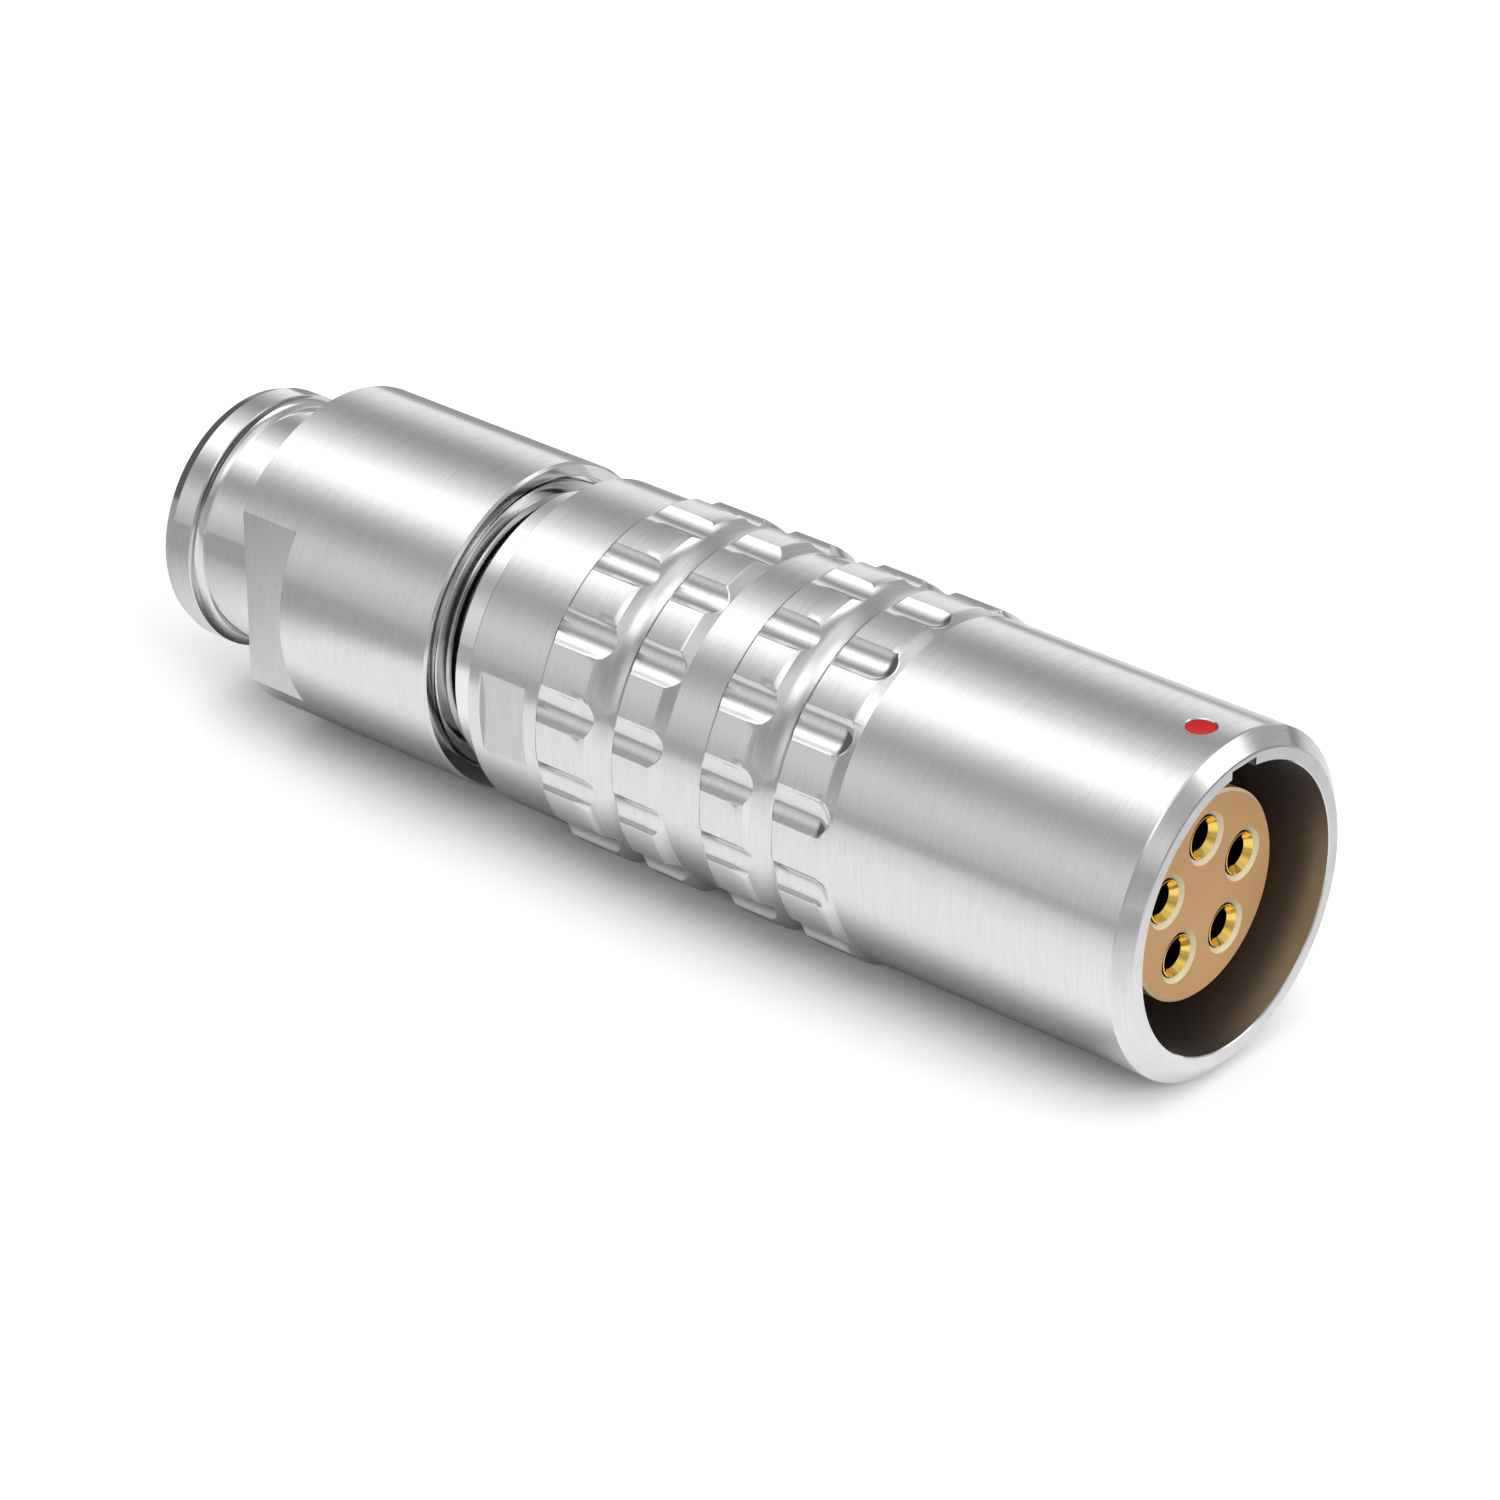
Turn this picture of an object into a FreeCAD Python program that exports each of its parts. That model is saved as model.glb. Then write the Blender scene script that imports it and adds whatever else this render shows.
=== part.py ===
import FreeCAD, Part
import math
import os

# Cable socket half of a push pull circular connector, in millimetres.
# Its axis lies along X. The mating face is at x = 0 and looks along +X, and the cable end is
# at the other end. The key slot and the red index dot are on top, at +Z.
# A station is a distance behind the mating face, so a point at station s has x = -s.

# The radii follow each other from the insulator outwards to the grip, and from the rear ring inwards
# to the cable hole, by the walls, steps and spaces named below.
INSULATOR_R = 4.79

# Outside of the shell, from the rim to the cable end
SOCKET_WALL = 1.40
BARREL_LENGTH = 15.60
RIM_WIDTH = 0.63
RIM_CHAMFER = 0.62
LAND_RISE = 0.23
RING_DROP = 0.15
FRONT_BAND = 3.40
SECOND_BAND = 2.40
MID_RING = 2.20
THIRD_BAND = 2.85
FOURTH_BAND = 2.80
REAR_RING = 4.20
BAND_CHAMFER = 0.50
SHELL_END_CHAMFER = 0.15

# Round grooves between two bands
GROOVE_LENGTH = 1.68
GROOVE_DEPTH = 0.68
GROOVE_CORNER = 0.28
GROOVE_ROUND = 1.36
GROOVE_BEVEL = 0.28

# Flutes along the grip bands
FLUTE_COUNT = 14
FLUTE_WIDTH = 1.70
FLUTE_LIFT = 0.02
FLUTE_SET_BACK = 0.90

# Spanner flats on the rear ring
SHELL_FLAT_SET_BACK = 0.80
SHELL_FLAT_LENGTH = 2.60
SHELL_FLAT_DEPTH = 0.25

# Socket in the front of the shell, round the insulator
PLUG_SPACE = 1.81
SOCKET_DEPTH = 12.50
LATCH_SET_BACK = 5.60
LATCH_LENGTH = 1.60
LATCH_DEPTH = 0.35
KEY_WIDTH = 1.68
KEY_DEPTH = 0.33
KEY_LENGTH = 9.00
WEB_THICKNESS = 1.50

# Bores behind the socket
CARRIER_STEP = 0.60
THREAD_WALL = 1.35
THREAD_LENGTH = 9.00
SEAL_SEAT_DEPTH = 0.70
SEAL_SEAT_STEP = 0.28

# Index dot in its recess
DOT_R = 0.67
DOT_SET_BACK = 2.27
DOT_SINK = 0.10
DOT_THICKNESS = 0.35

# Earthing crown at the bottom of the socket, and the split ring that keeps it there
CROWN_FINGERS = 12
CROWN_WALL = 0.20
CROWN_COLLAR = 0.80
CROWN_FINGER_LENGTH = 2.00
CROWN_LEAN = 0.22
CROWN_SLOT = 0.40
SPLIT_RING_WIDTH = 0.60
SPLIT_RING_BITE = 0.30
SPLIT_RING_STAND = 0.20
SPLIT_RING_GAP = 2.20

# Front insulator, seen in the socket, and rear insulator, which clamps it against the web
INSULATOR_SET_BACK = 1.75
INSULATOR_EDGE = 0.12
INSULATOR_RIM = 0.45
INSULATOR_RIM_LENGTH = 0.60
FLANGE_THICKNESS = 1.60
TENON_LENGTH = 3.90
LOCK_SET_BACK = 2.60
LOCK_WIDTH = 0.70
LOCK_DEPTH = 0.35

# Contacts and the clips that hold them
CONTACT_COUNT = 5
CONTACT_CIRCLE_R = 2.78
CONTACT_R = 0.97
CONTACT_SINK = 0.10
CONTACT_BORE_R = 0.71
CONTACT_BORE_DEPTH = 7.20
CONTACT_FUNNEL = 0.22
CONTACT_LIP = 0.04
CONTACT_COLLAR_RISE = 0.23
CONTACT_COLLAR_LENGTH = 1.00
CONTACT_TAIL = 3.60
SOLDER_CUP_WALL = 0.35
SOLDER_CUP_DEPTH = 2.60
SOLDER_CUP_OPENING = 1.50
HOLE_BEVEL = 0.14
CLIP_LENGTH = 1.80
CLIP_GAP = 0.50

# Split carrier behind the insulator
CARRIER_WALL = 0.80
WINDOW_WIDTH = 4.00
WINDOW_LENGTH = 4.00
WINDOW_SET_BACK = 1.20

# Cone for the cable's screen
CONE_FLANGE = 0.70
CONE_LENGTH = 3.60
CONE_WALL = 0.40
CONE_DROP = 0.35
SCREEN_SPACE = 0.20

# Collet that grips the cable
COLLET_FLANGE = 1.00
COLLET_LENGTH = 18.40
COLLET_WALL = 0.70
COLLET_CONE_LENGTH = 3.00
COLLET_CONE_DROP = 0.35
COLLET_SLOTS = 6
COLLET_SLOT_WIDTH = 0.60
COLLET_FINGER_LENGTH = 12.00

# Collet nut
NUT_DROP = 0.01
NUT_HEAD_LENGTH = 12.50
NUT_EDGE = 0.12
NUT_THREAD_WALL = 1.25
NUT_THREAD_BEVEL = 0.30
FACE_GROOVE_WALL = 0.66
FACE_GROOVE_WIDTH = 0.23
FACE_GROOVE_DEPTH = 0.80
HUB_BEVEL = 0.15
SHOULDER_RISE = 0.39
SHOULDER_LENGTH = 0.93
RELIEF_DEPTH = 0.42
RELIEF_INSIDE = 0.75
NUT_NOSE_GAP = 0.20
NUT_FLAT_LENGTH = 3.40
NUT_FLAT_DEPTH = 1.34
CABLE_HOLE_STEP = 0.25
CABLE_HOLE_EDGE = 0.35
NECK_WALL = 1.45
NECK_LENGTH = 4.00
LIP_RISE = 0.55
LIP_STEP = 0.05
LIP_LAND = 1.20
LIP_TAPER_LENGTH = 0.60
LIP_TAPER_DROP = 0.20

# Slip ring between the shell and the nut, and the rubber ring in front of it
SLIP_RING_WALL = 0.86
SLIP_RING_LENGTH = 1.53
SLIP_RING_EDGE = 0.10
SEAL_SECTION_R = 0.30

# Clearances: running on a radius, pressed in by hand, and between two faces across the axis
RUNNING = 0.05
SEATED = 0.01
FACE_GAP = 0.02

# How far a cutting tool reaches past the surface that it cuts
REACH = 2.0

# Stations worked out from the lengths above
BAND_1_START = BARREL_LENGTH
BAND_1_END = BAND_1_START + FRONT_BAND
BAND_2_START = BAND_1_END + GROOVE_LENGTH
BAND_2_END = BAND_2_START + SECOND_BAND
BAND_3_START = BAND_2_END + MID_RING
BAND_3_END = BAND_3_START + THIRD_BAND
BAND_4_START = BAND_3_END + GROOVE_LENGTH
BAND_4_END = BAND_4_START + FOURTH_BAND
SHELL_END = BAND_4_END + REAR_RING

WEB_BACK = SOCKET_DEPTH + WEB_THICKNESS
THREAD_START = SHELL_END - THREAD_LENGTH
SEAL_SEAT_START = SHELL_END - SEAL_SEAT_DEPTH
CROWN_BACK = SOCKET_DEPTH - FACE_GAP
CROWN_FRONT = CROWN_BACK - CROWN_COLLAR
SPLIT_RING_BACK = CROWN_FRONT - FACE_GAP
SPLIT_RING_FRONT = SPLIT_RING_BACK - SPLIT_RING_WIDTH

FLANGE_START = WEB_BACK + FACE_GAP
FLANGE_END = FLANGE_START + FLANGE_THICKNESS
INSULATOR_END = FLANGE_START + INSULATOR_RIM_LENGTH
TENON_END = FLANGE_END + TENON_LENGTH
LOCK_START = FLANGE_END + LOCK_SET_BACK
CARRIER_START = FLANGE_END + FACE_GAP
CARRIER_END = THREAD_START
COLLAR_START = INSULATOR_END + FACE_GAP
COLLAR_END = COLLAR_START + CONTACT_COLLAR_LENGTH
CLIP_START = COLLAR_END + FACE_GAP
CONTACT_FRONT = INSULATOR_SET_BACK + CONTACT_SINK
CONTACT_END = TENON_END + CONTACT_TAIL

CONE_START = THREAD_START + FACE_GAP
CONE_FLANGE_END = CONE_START + CONE_FLANGE
COLLET_START = CONE_FLANGE_END + FACE_GAP
COLLET_FLANGE_END = COLLET_START + COLLET_FLANGE
COLLET_END = COLLET_START + COLLET_LENGTH

SLIP_RING_START = SHELL_END + FACE_GAP
SHOULDER_START = SLIP_RING_START + SLIP_RING_LENGTH + FACE_GAP
NUT_FACE = SHOULDER_START + SHOULDER_LENGTH
NUT_BACK = NUT_FACE + NUT_HEAD_LENGTH
NUT_NOSE = COLLET_FLANGE_END + NUT_NOSE_GAP
RELIEF_START = SHELL_END - RELIEF_INSIDE
LIP_START = NUT_BACK + NECK_LENGTH
LIP_TAPER_START = LIP_START + LIP_LAND
NUT_END = LIP_TAPER_START + LIP_TAPER_LENGTH



def sized(value):
    """A size worked out from others, as a plain number again, to a millionth of a millimetre."""
    return round(value, 6)


# Radii of the shell, worked out from the insulator outwards and back in to the bores
SOCKET_R = sized(INSULATOR_R + PLUG_SPACE)
BARREL_R = sized(SOCKET_R + SOCKET_WALL)
RIM_FACE_R = sized(SOCKET_R + RIM_WIDTH)
LAND_R = sized(BARREL_R + LAND_RISE)
RING_R = sized(BARREL_R - RING_DROP)
GROOVE_FLOOR_R = sized(LAND_R - GROOVE_DEPTH)
CARRIER_BORE_R = sized(SOCKET_R - CARRIER_STEP)
THREAD_R = sized(RING_R - THREAD_WALL)
SEAL_SEAT_R = THREAD_R + SEAL_SEAT_STEP

# Radii of the pieces inside the shell, worked out from the bores and the fits
CARRIER_R = CARRIER_BORE_R - RUNNING
CARRIER_INNER_R = CARRIER_R - CARRIER_WALL
TENON_R = CARRIER_INNER_R - SEATED
CONTACT_COLLAR_R = sized(CONTACT_R + CONTACT_COLLAR_RISE)
CLIP_POCKET_R = CONTACT_COLLAR_R + RUNNING
CONE_ROOT_R = sized(CARRIER_INNER_R - SCREEN_SPACE)
CONE_TIP_R = sized(CONE_ROOT_R - CONE_DROP)

# Radii of the nut and the pieces in it and on it, worked out from the shell's thread and rear ring
NUT_R = sized(RING_R - NUT_DROP)
NUT_THREAD_R = THREAD_R - RUNNING
NUT_INNER_R = sized(NUT_THREAD_R - NUT_THREAD_WALL)
RELIEF_R = NUT_THREAD_R - RELIEF_DEPTH
SHOULDER_R = sized(RELIEF_R + SHOULDER_RISE)
FACE_GROOVE_R = sized(NUT_R - FACE_GROOVE_WALL)
SLIP_RING_BORE_R = RELIEF_R + RUNNING
SLIP_RING_R = sized(SLIP_RING_BORE_R + SLIP_RING_WALL)
COLLET_R = NUT_INNER_R - RUNNING
COLLET_BORE_R = sized(COLLET_R - COLLET_WALL)
CABLE_HOLE_R = sized(COLLET_BORE_R - CABLE_HOLE_STEP)
NECK_R = sized(CABLE_HOLE_R + NECK_WALL)
LIP_R = sized(NECK_R + LIP_RISE)
LIP_FILLET = sized(LIP_RISE - LIP_STEP)


def point(station, radius):
    """Point of a turned outline: its station behind the mating face, its distance off the axis."""
    return FreeCAD.Vector(-station, 0, radius)


def turned(outline):
    """Solid of revolution about the connector's axis.

    Each entry of the outline is a corner (station, radius), or the two points
    (station, radius, station, radius) of an arc, its middle and its end.
    """
    corners = [point(*entry[-2:]) for entry in outline]
    edges = []
    start = corners[-1]
    for entry, end in zip(outline, corners):
        if len(entry) == 4:
            edges.append(Part.Arc(start, point(*entry[:2]), end).toShape())
        elif start.distanceToPoint(end) > 1e-6:
            edges.append(Part.makeLine(start, end))
        start = end
    face = Part.Face(Part.Wire(edges))
    return face.revolve(FreeCAD.Vector(0, 0, 0), FreeCAD.Vector(1, 0, 0), 360)


def tube(start, end, inner, outer):
    """Plain round tube between two stations."""
    return turned([(start, inner), (start, outer), (end, outer), (end, inner)])


def rod(start, end, radius):
    """Plain round bar on the axis between two stations."""
    return Part.makeCylinder(radius, end - start, point(end, 0), FreeCAD.Vector(1, 0, 0))


def block(start, end, width, low, high):
    """Box between two stations, centred on the axis in width, from low to high above it."""
    corner = FreeCAD.Vector(-end, -width / 2, low)
    return Part.makeBox(end - start, width, high - low, corner)


def turn(shape, degrees):
    """The shape turned about the connector's axis."""
    copy = shape.copy()
    copy.rotate(FreeCAD.Vector(0, 0, 0), FreeCAD.Vector(1, 0, 0), degrees)
    return copy


def around(shape, count, first=0.0):
    """Copies of a shape, evenly spaced round the axis."""
    return [turn(shape, first + 360.0 * number / count) for number in range(count)]


def raised(shape, height):
    """The shape moved up from the axis."""
    copy = shape.copy()
    copy.translate(FreeCAD.Vector(0, 0, height))
    return copy


def groove(start):
    """Outline of a round groove: a corner arc down to the floor, then a long arc up and a bevel."""
    bottom = start + GROOVE_CORNER
    end = start + GROOVE_LENGTH
    sweep = math.radians(45)
    corner_top = GROOVE_FLOOR_R + GROOVE_CORNER
    corner_middle = (
        bottom - GROOVE_CORNER * math.sin(sweep),
        corner_top - GROOVE_CORNER * math.cos(sweep),
    )
    centre_r = GROOVE_FLOOR_R + GROOVE_ROUND
    last = math.asin((end - GROOVE_BEVEL - bottom) / GROOVE_ROUND)
    middle = last / 2
    return [
        (start, LAND_R),
        (start, corner_top),
        corner_middle + (bottom, GROOVE_FLOOR_R),
        (
            bottom + GROOVE_ROUND * math.sin(middle),
            centre_r - GROOVE_ROUND * math.cos(middle),
            bottom + GROOVE_ROUND * math.sin(last),
            centre_r - GROOVE_ROUND * math.cos(last),
        ),
        (end, LAND_R),
    ]


def flute():
    """Tool for one flute at the top: a round bar that ends in a ball near the front band."""
    half_width = FLUTE_WIDTH / 2
    floor_r = RING_R + FLUTE_LIFT
    sag = math.sqrt(LAND_R ** 2 - half_width ** 2) - floor_r
    radius = (half_width ** 2 + sag ** 2) / (2 * sag)
    start = BAND_1_START + FLUTE_SET_BACK
    bar = Part.makeCylinder(
        radius,
        BAND_4_END + REACH - start,
        FreeCAD.Vector(-BAND_4_END - REACH, 0, floor_r + radius),
        FreeCAD.Vector(1, 0, 0),
    )
    ball = Part.makeSphere(radius, FreeCAD.Vector(-start, 0, floor_r + radius))
    return bar.fuse(ball).removeSplitter()


def side_flats(start, end, outside, depth):
    """Tools for two flats of that depth, one on each side of a round outside, at +Y and -Y."""
    tool = block(start, end, 2 * outside, sized(outside - depth), outside)
    return [turn(tool, 90), turn(tool, -90)]


def outer_shell():
    """Turned shell: rim, barrel, grip bands, socket, web, carrier bore and thread bore."""
    split_ring_r = SOCKET_R + SPLIT_RING_BITE
    latch_r = SOCKET_R + LATCH_DEPTH
    latch_end = LATCH_SET_BACK + LATCH_LENGTH
    web_bore_r = INSULATOR_R + RUNNING
    outside = [
        (0, RIM_FACE_R),
        (RIM_CHAMFER, BARREL_R),
        (BAND_1_START, BARREL_R),
        (BAND_1_START + BAND_CHAMFER, LAND_R),
    ]
    outside += groove(BAND_1_END)
    outside += [
        (BAND_2_END, LAND_R),
        (BAND_2_END, RING_R),
        (BAND_3_START, RING_R),
        (BAND_3_START + BAND_CHAMFER, LAND_R),
    ]
    outside += groove(BAND_3_END)
    outside += [
        (BAND_4_END, LAND_R),
        (BAND_4_END, RING_R),
        (SHELL_END - SHELL_END_CHAMFER, RING_R),
        (SHELL_END, RING_R - SHELL_END_CHAMFER),
    ]
    inside = [
        (SHELL_END, SEAL_SEAT_R),
        (SEAL_SEAT_START, SEAL_SEAT_R),
        (SEAL_SEAT_START, THREAD_R),
        (THREAD_START, THREAD_R),
        (THREAD_START, CARRIER_BORE_R),
        (WEB_BACK, CARRIER_BORE_R),
        (WEB_BACK, web_bore_r),
        (SOCKET_DEPTH, web_bore_r),
        (SOCKET_DEPTH, SOCKET_R),
        (SPLIT_RING_BACK + FACE_GAP, SOCKET_R),
        (SPLIT_RING_BACK + FACE_GAP, split_ring_r),
        (SPLIT_RING_FRONT - FACE_GAP, split_ring_r),
        (SPLIT_RING_FRONT - FACE_GAP, SOCKET_R),
        (latch_end, SOCKET_R),
        (latch_end, latch_r),
        (LATCH_SET_BACK, latch_r),
        (LATCH_SET_BACK, SOCKET_R),
        (0, SOCKET_R),
    ]
    body = turned(outside + inside)
    key_slot = block(-REACH, KEY_LENGTH, KEY_WIDTH, SOCKET_R / 2, SOCKET_R + KEY_DEPTH)
    dot_seat = Part.makeCylinder(
        DOT_R + SEATED,
        BARREL_R,
        FreeCAD.Vector(-DOT_SET_BACK, 0, BARREL_R - DOT_SINK - DOT_THICKNESS - FACE_GAP),
    )
    flat_start = BAND_4_END + SHELL_FLAT_SET_BACK
    flats = side_flats(flat_start, flat_start + SHELL_FLAT_LENGTH, RING_R, SHELL_FLAT_DEPTH)
    return body.cut([key_slot, dot_seat] + around(flute(), FLUTE_COUNT) + flats)


def index_dot():
    """Enamel dot, sunk a little below the barrel's surface."""
    top = BARREL_R - DOT_SINK
    return Part.makeCylinder(
        DOT_R, DOT_THICKNESS, FreeCAD.Vector(-DOT_SET_BACK, 0, top - DOT_THICKNESS)
    )


def earthing_crown():
    """Ring with a collar against the web and leaning spring fingers that touch the plug."""
    collar_r = SOCKET_R - RUNNING
    finger_r = SOCKET_R - SPLIT_RING_STAND - 2 * RUNNING
    inner_r = finger_r - CROWN_WALL
    tip = CROWN_FRONT - CROWN_FINGER_LENGTH
    body = turned([
        (tip, inner_r - CROWN_LEAN),
        (tip, finger_r - CROWN_LEAN),
        (CROWN_FRONT, finger_r),
        (CROWN_FRONT, collar_r),
        (CROWN_BACK, collar_r),
        (CROWN_BACK, inner_r),
        (CROWN_FRONT, inner_r),
    ])
    slot = block(tip - REACH, CROWN_FRONT, CROWN_SLOT, inner_r - 2 * CROWN_LEAN, SOCKET_R)
    return body.cut(around(slot, CROWN_FINGERS))


def retaining_ring():
    """Split spring ring in its groove, with its gap at the bottom."""
    outer_r = SOCKET_R + SPLIT_RING_BITE - RUNNING
    inner_r = SOCKET_R - SPLIT_RING_STAND
    body = tube(SPLIT_RING_FRONT, SPLIT_RING_BACK, inner_r, outer_r)
    gap = block(
        SPLIT_RING_FRONT - REACH, SPLIT_RING_BACK + REACH, SPLIT_RING_GAP, -BARREL_R, 0
    )
    return body.cut(gap)


def contact_places(shape):
    """A shape on the axis, copied to each contact's place, the first under the key slot."""
    return around(raised(shape, CONTACT_CIRCLE_R), CONTACT_COUNT)


def insulator():
    """Moulded front insulator with five bevelled holes and a thin rim behind the web."""
    rim_r = INSULATOR_R + INSULATOR_RIM
    body = turned([
        (INSULATOR_SET_BACK, 0),
        (INSULATOR_SET_BACK, INSULATOR_R - INSULATOR_EDGE),
        (INSULATOR_SET_BACK + INSULATOR_EDGE, INSULATOR_R),
        (FLANGE_START, INSULATOR_R),
        (FLANGE_START, rim_r),
        (INSULATOR_END, rim_r),
        (INSULATOR_END, 0),
    ])
    hole_r = CONTACT_R + RUNNING
    hole = turned([
        (INSULATOR_SET_BACK - REACH, 0),
        (INSULATOR_SET_BACK - REACH, hole_r + HOLE_BEVEL + REACH),
        (INSULATOR_SET_BACK + HOLE_BEVEL, hole_r),
        (INSULATOR_END + REACH, hole_r),
        (INSULATOR_END + REACH, 0),
    ])
    return body.cut(contact_places(hole))


def rear_insulator():
    """Moulded rear insulator: flange over the front one's rim, and a grooved tenon."""
    seat_r = INSULATOR_R + INSULATOR_RIM + SEATED
    seat_end = INSULATOR_END + FACE_GAP
    lock_r = TENON_R - LOCK_DEPTH
    lock_end = LOCK_START + LOCK_WIDTH
    body = turned([
        (seat_end, 0),
        (seat_end, seat_r),
        (FLANGE_START, seat_r),
        (FLANGE_START, CARRIER_R),
        (FLANGE_END, CARRIER_R),
        (FLANGE_END, TENON_R),
        (LOCK_START, TENON_R),
        (LOCK_START, lock_r),
        (lock_end, lock_r),
        (lock_end, TENON_R),
        (TENON_END, TENON_R),
        (TENON_END, 0),
    ])
    pocket = rod(seat_end - REACH, TENON_END + REACH, CLIP_POCKET_R)
    return body.cut(contact_places(pocket))


def contact():
    """Female contact on the axis: funnel, bore, collar and a solder cup open to one side."""
    funnel_r = CONTACT_R - CONTACT_LIP
    funnel_end = CONTACT_FRONT + CONTACT_FUNNEL
    bore_end = CONTACT_FRONT + CONTACT_BORE_DEPTH
    cup_r = sized(CONTACT_R - SOLDER_CUP_WALL)
    cup_start = CONTACT_END - SOLDER_CUP_DEPTH
    body = turned([
        (bore_end, 0),
        (bore_end, CONTACT_BORE_R),
        (funnel_end, CONTACT_BORE_R),
        (CONTACT_FRONT, funnel_r),
        (CONTACT_FRONT, CONTACT_R),
        (COLLAR_START, CONTACT_R),
        (COLLAR_START, CONTACT_COLLAR_R),
        (COLLAR_END, CONTACT_COLLAR_R),
        (COLLAR_END, CONTACT_R),
        (CONTACT_END, CONTACT_R),
        (CONTACT_END, cup_r),
        (cup_start, cup_r),
        (cup_start, 0),
    ])
    cup_opening = block(
        CONTACT_END - SOLDER_CUP_OPENING, CONTACT_END + REACH, 2 * CONTACT_R, 0, CONTACT_R
    )
    return body.cut(cup_opening)


def contact_clip():
    """Split clip on the axis, behind the contact's collar, with its gap facing outwards."""
    inner_r = CONTACT_R + SEATED
    outer_r = CLIP_POCKET_R - SEATED
    body = tube(CLIP_START, CLIP_START + CLIP_LENGTH, inner_r, outer_r)
    gap = block(
        CLIP_START - REACH, CLIP_START + CLIP_LENGTH + REACH, CLIP_GAP, 0, 2 * outer_r
    )
    return body.cut(gap)


def carrier_halves():
    """Two half shells that lock into the tenon's groove and carry it in the shell's bore."""
    rib_r = TENON_R - LOCK_DEPTH + SEATED
    rib_start = LOCK_START + FACE_GAP
    rib_end = LOCK_START + LOCK_WIDTH - FACE_GAP
    body = turned([
        (CARRIER_START, CARRIER_INNER_R),
        (CARRIER_START, CARRIER_R),
        (CARRIER_END, CARRIER_R),
        (CARRIER_END, CARRIER_INNER_R),
        (rib_end, CARRIER_INNER_R),
        (rib_end, rib_r),
        (rib_start, rib_r),
        (rib_start, CARRIER_INNER_R),
    ])
    window_start = TENON_END + WINDOW_SET_BACK
    window = block(window_start, window_start + WINDOW_LENGTH, WINDOW_WIDTH, 0, CARRIER_BORE_R)
    body = body.cut([window, turn(window, 180)])
    span = 2 * CARRIER_BORE_R
    upper = body.common(
        block(CARRIER_START - REACH, CARRIER_END + REACH, span, SEATED, CARRIER_BORE_R)
    )
    return upper, turn(upper, 180)


def shield_cone():
    """Flanged cone over which the cable's screen is folded, its tip towards the contacts."""
    flange_r = THREAD_R - RUNNING
    tip = CONE_START - CONE_LENGTH
    return turned([
        (tip, CONE_TIP_R - CONE_WALL),
        (tip, CONE_TIP_R),
        (CONE_START, CONE_ROOT_R),
        (CONE_START, flange_r),
        (CONE_FLANGE_END, flange_r),
        (CONE_FLANGE_END, CONE_ROOT_R - CONE_WALL),
        (CONE_START, CONE_ROOT_R - CONE_WALL),
    ])


def collet():
    """Collet with a flange in the shell and slotted fingers whose tips end in a cone."""
    flange_r = THREAD_R - RUNNING
    cone_start = COLLET_END - COLLET_CONE_LENGTH
    body = turned([
        (COLLET_START, COLLET_BORE_R),
        (COLLET_START, flange_r),
        (COLLET_FLANGE_END, flange_r),
        (COLLET_FLANGE_END, COLLET_R),
        (cone_start, COLLET_R),
        (COLLET_END, COLLET_R - COLLET_CONE_DROP),
        (COLLET_END, COLLET_BORE_R),
    ])
    slot = block(
        COLLET_END - COLLET_FINGER_LENGTH, COLLET_END + REACH, COLLET_SLOT_WIDTH, 0, 2 * COLLET_R
    )
    return body.cut(around(slot, COLLET_SLOTS))


def rear_seal():
    """Rubber ring round the nut's relief, in its seat in the back of the shell."""
    centre_r = SLIP_RING_BORE_R + SEAL_SECTION_R
    station = SLIP_RING_START - FACE_GAP - SEAL_SECTION_R
    return Part.makeTorus(centre_r, SEAL_SECTION_R, point(station, 0), FreeCAD.Vector(1, 0, 0))


def slip_ring():
    """Loose ring on the nut's relief that takes the nut's push without turning."""
    end = SLIP_RING_START + SLIP_RING_LENGTH
    return turned([
        (SLIP_RING_START, SLIP_RING_BORE_R),
        (SLIP_RING_START, SLIP_RING_R - SLIP_RING_EDGE),
        (SLIP_RING_START + SLIP_RING_EDGE, SLIP_RING_R),
        (end - SLIP_RING_EDGE, SLIP_RING_R),
        (end, SLIP_RING_R - SLIP_RING_EDGE),
        (end, SLIP_RING_BORE_R),
    ])


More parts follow.
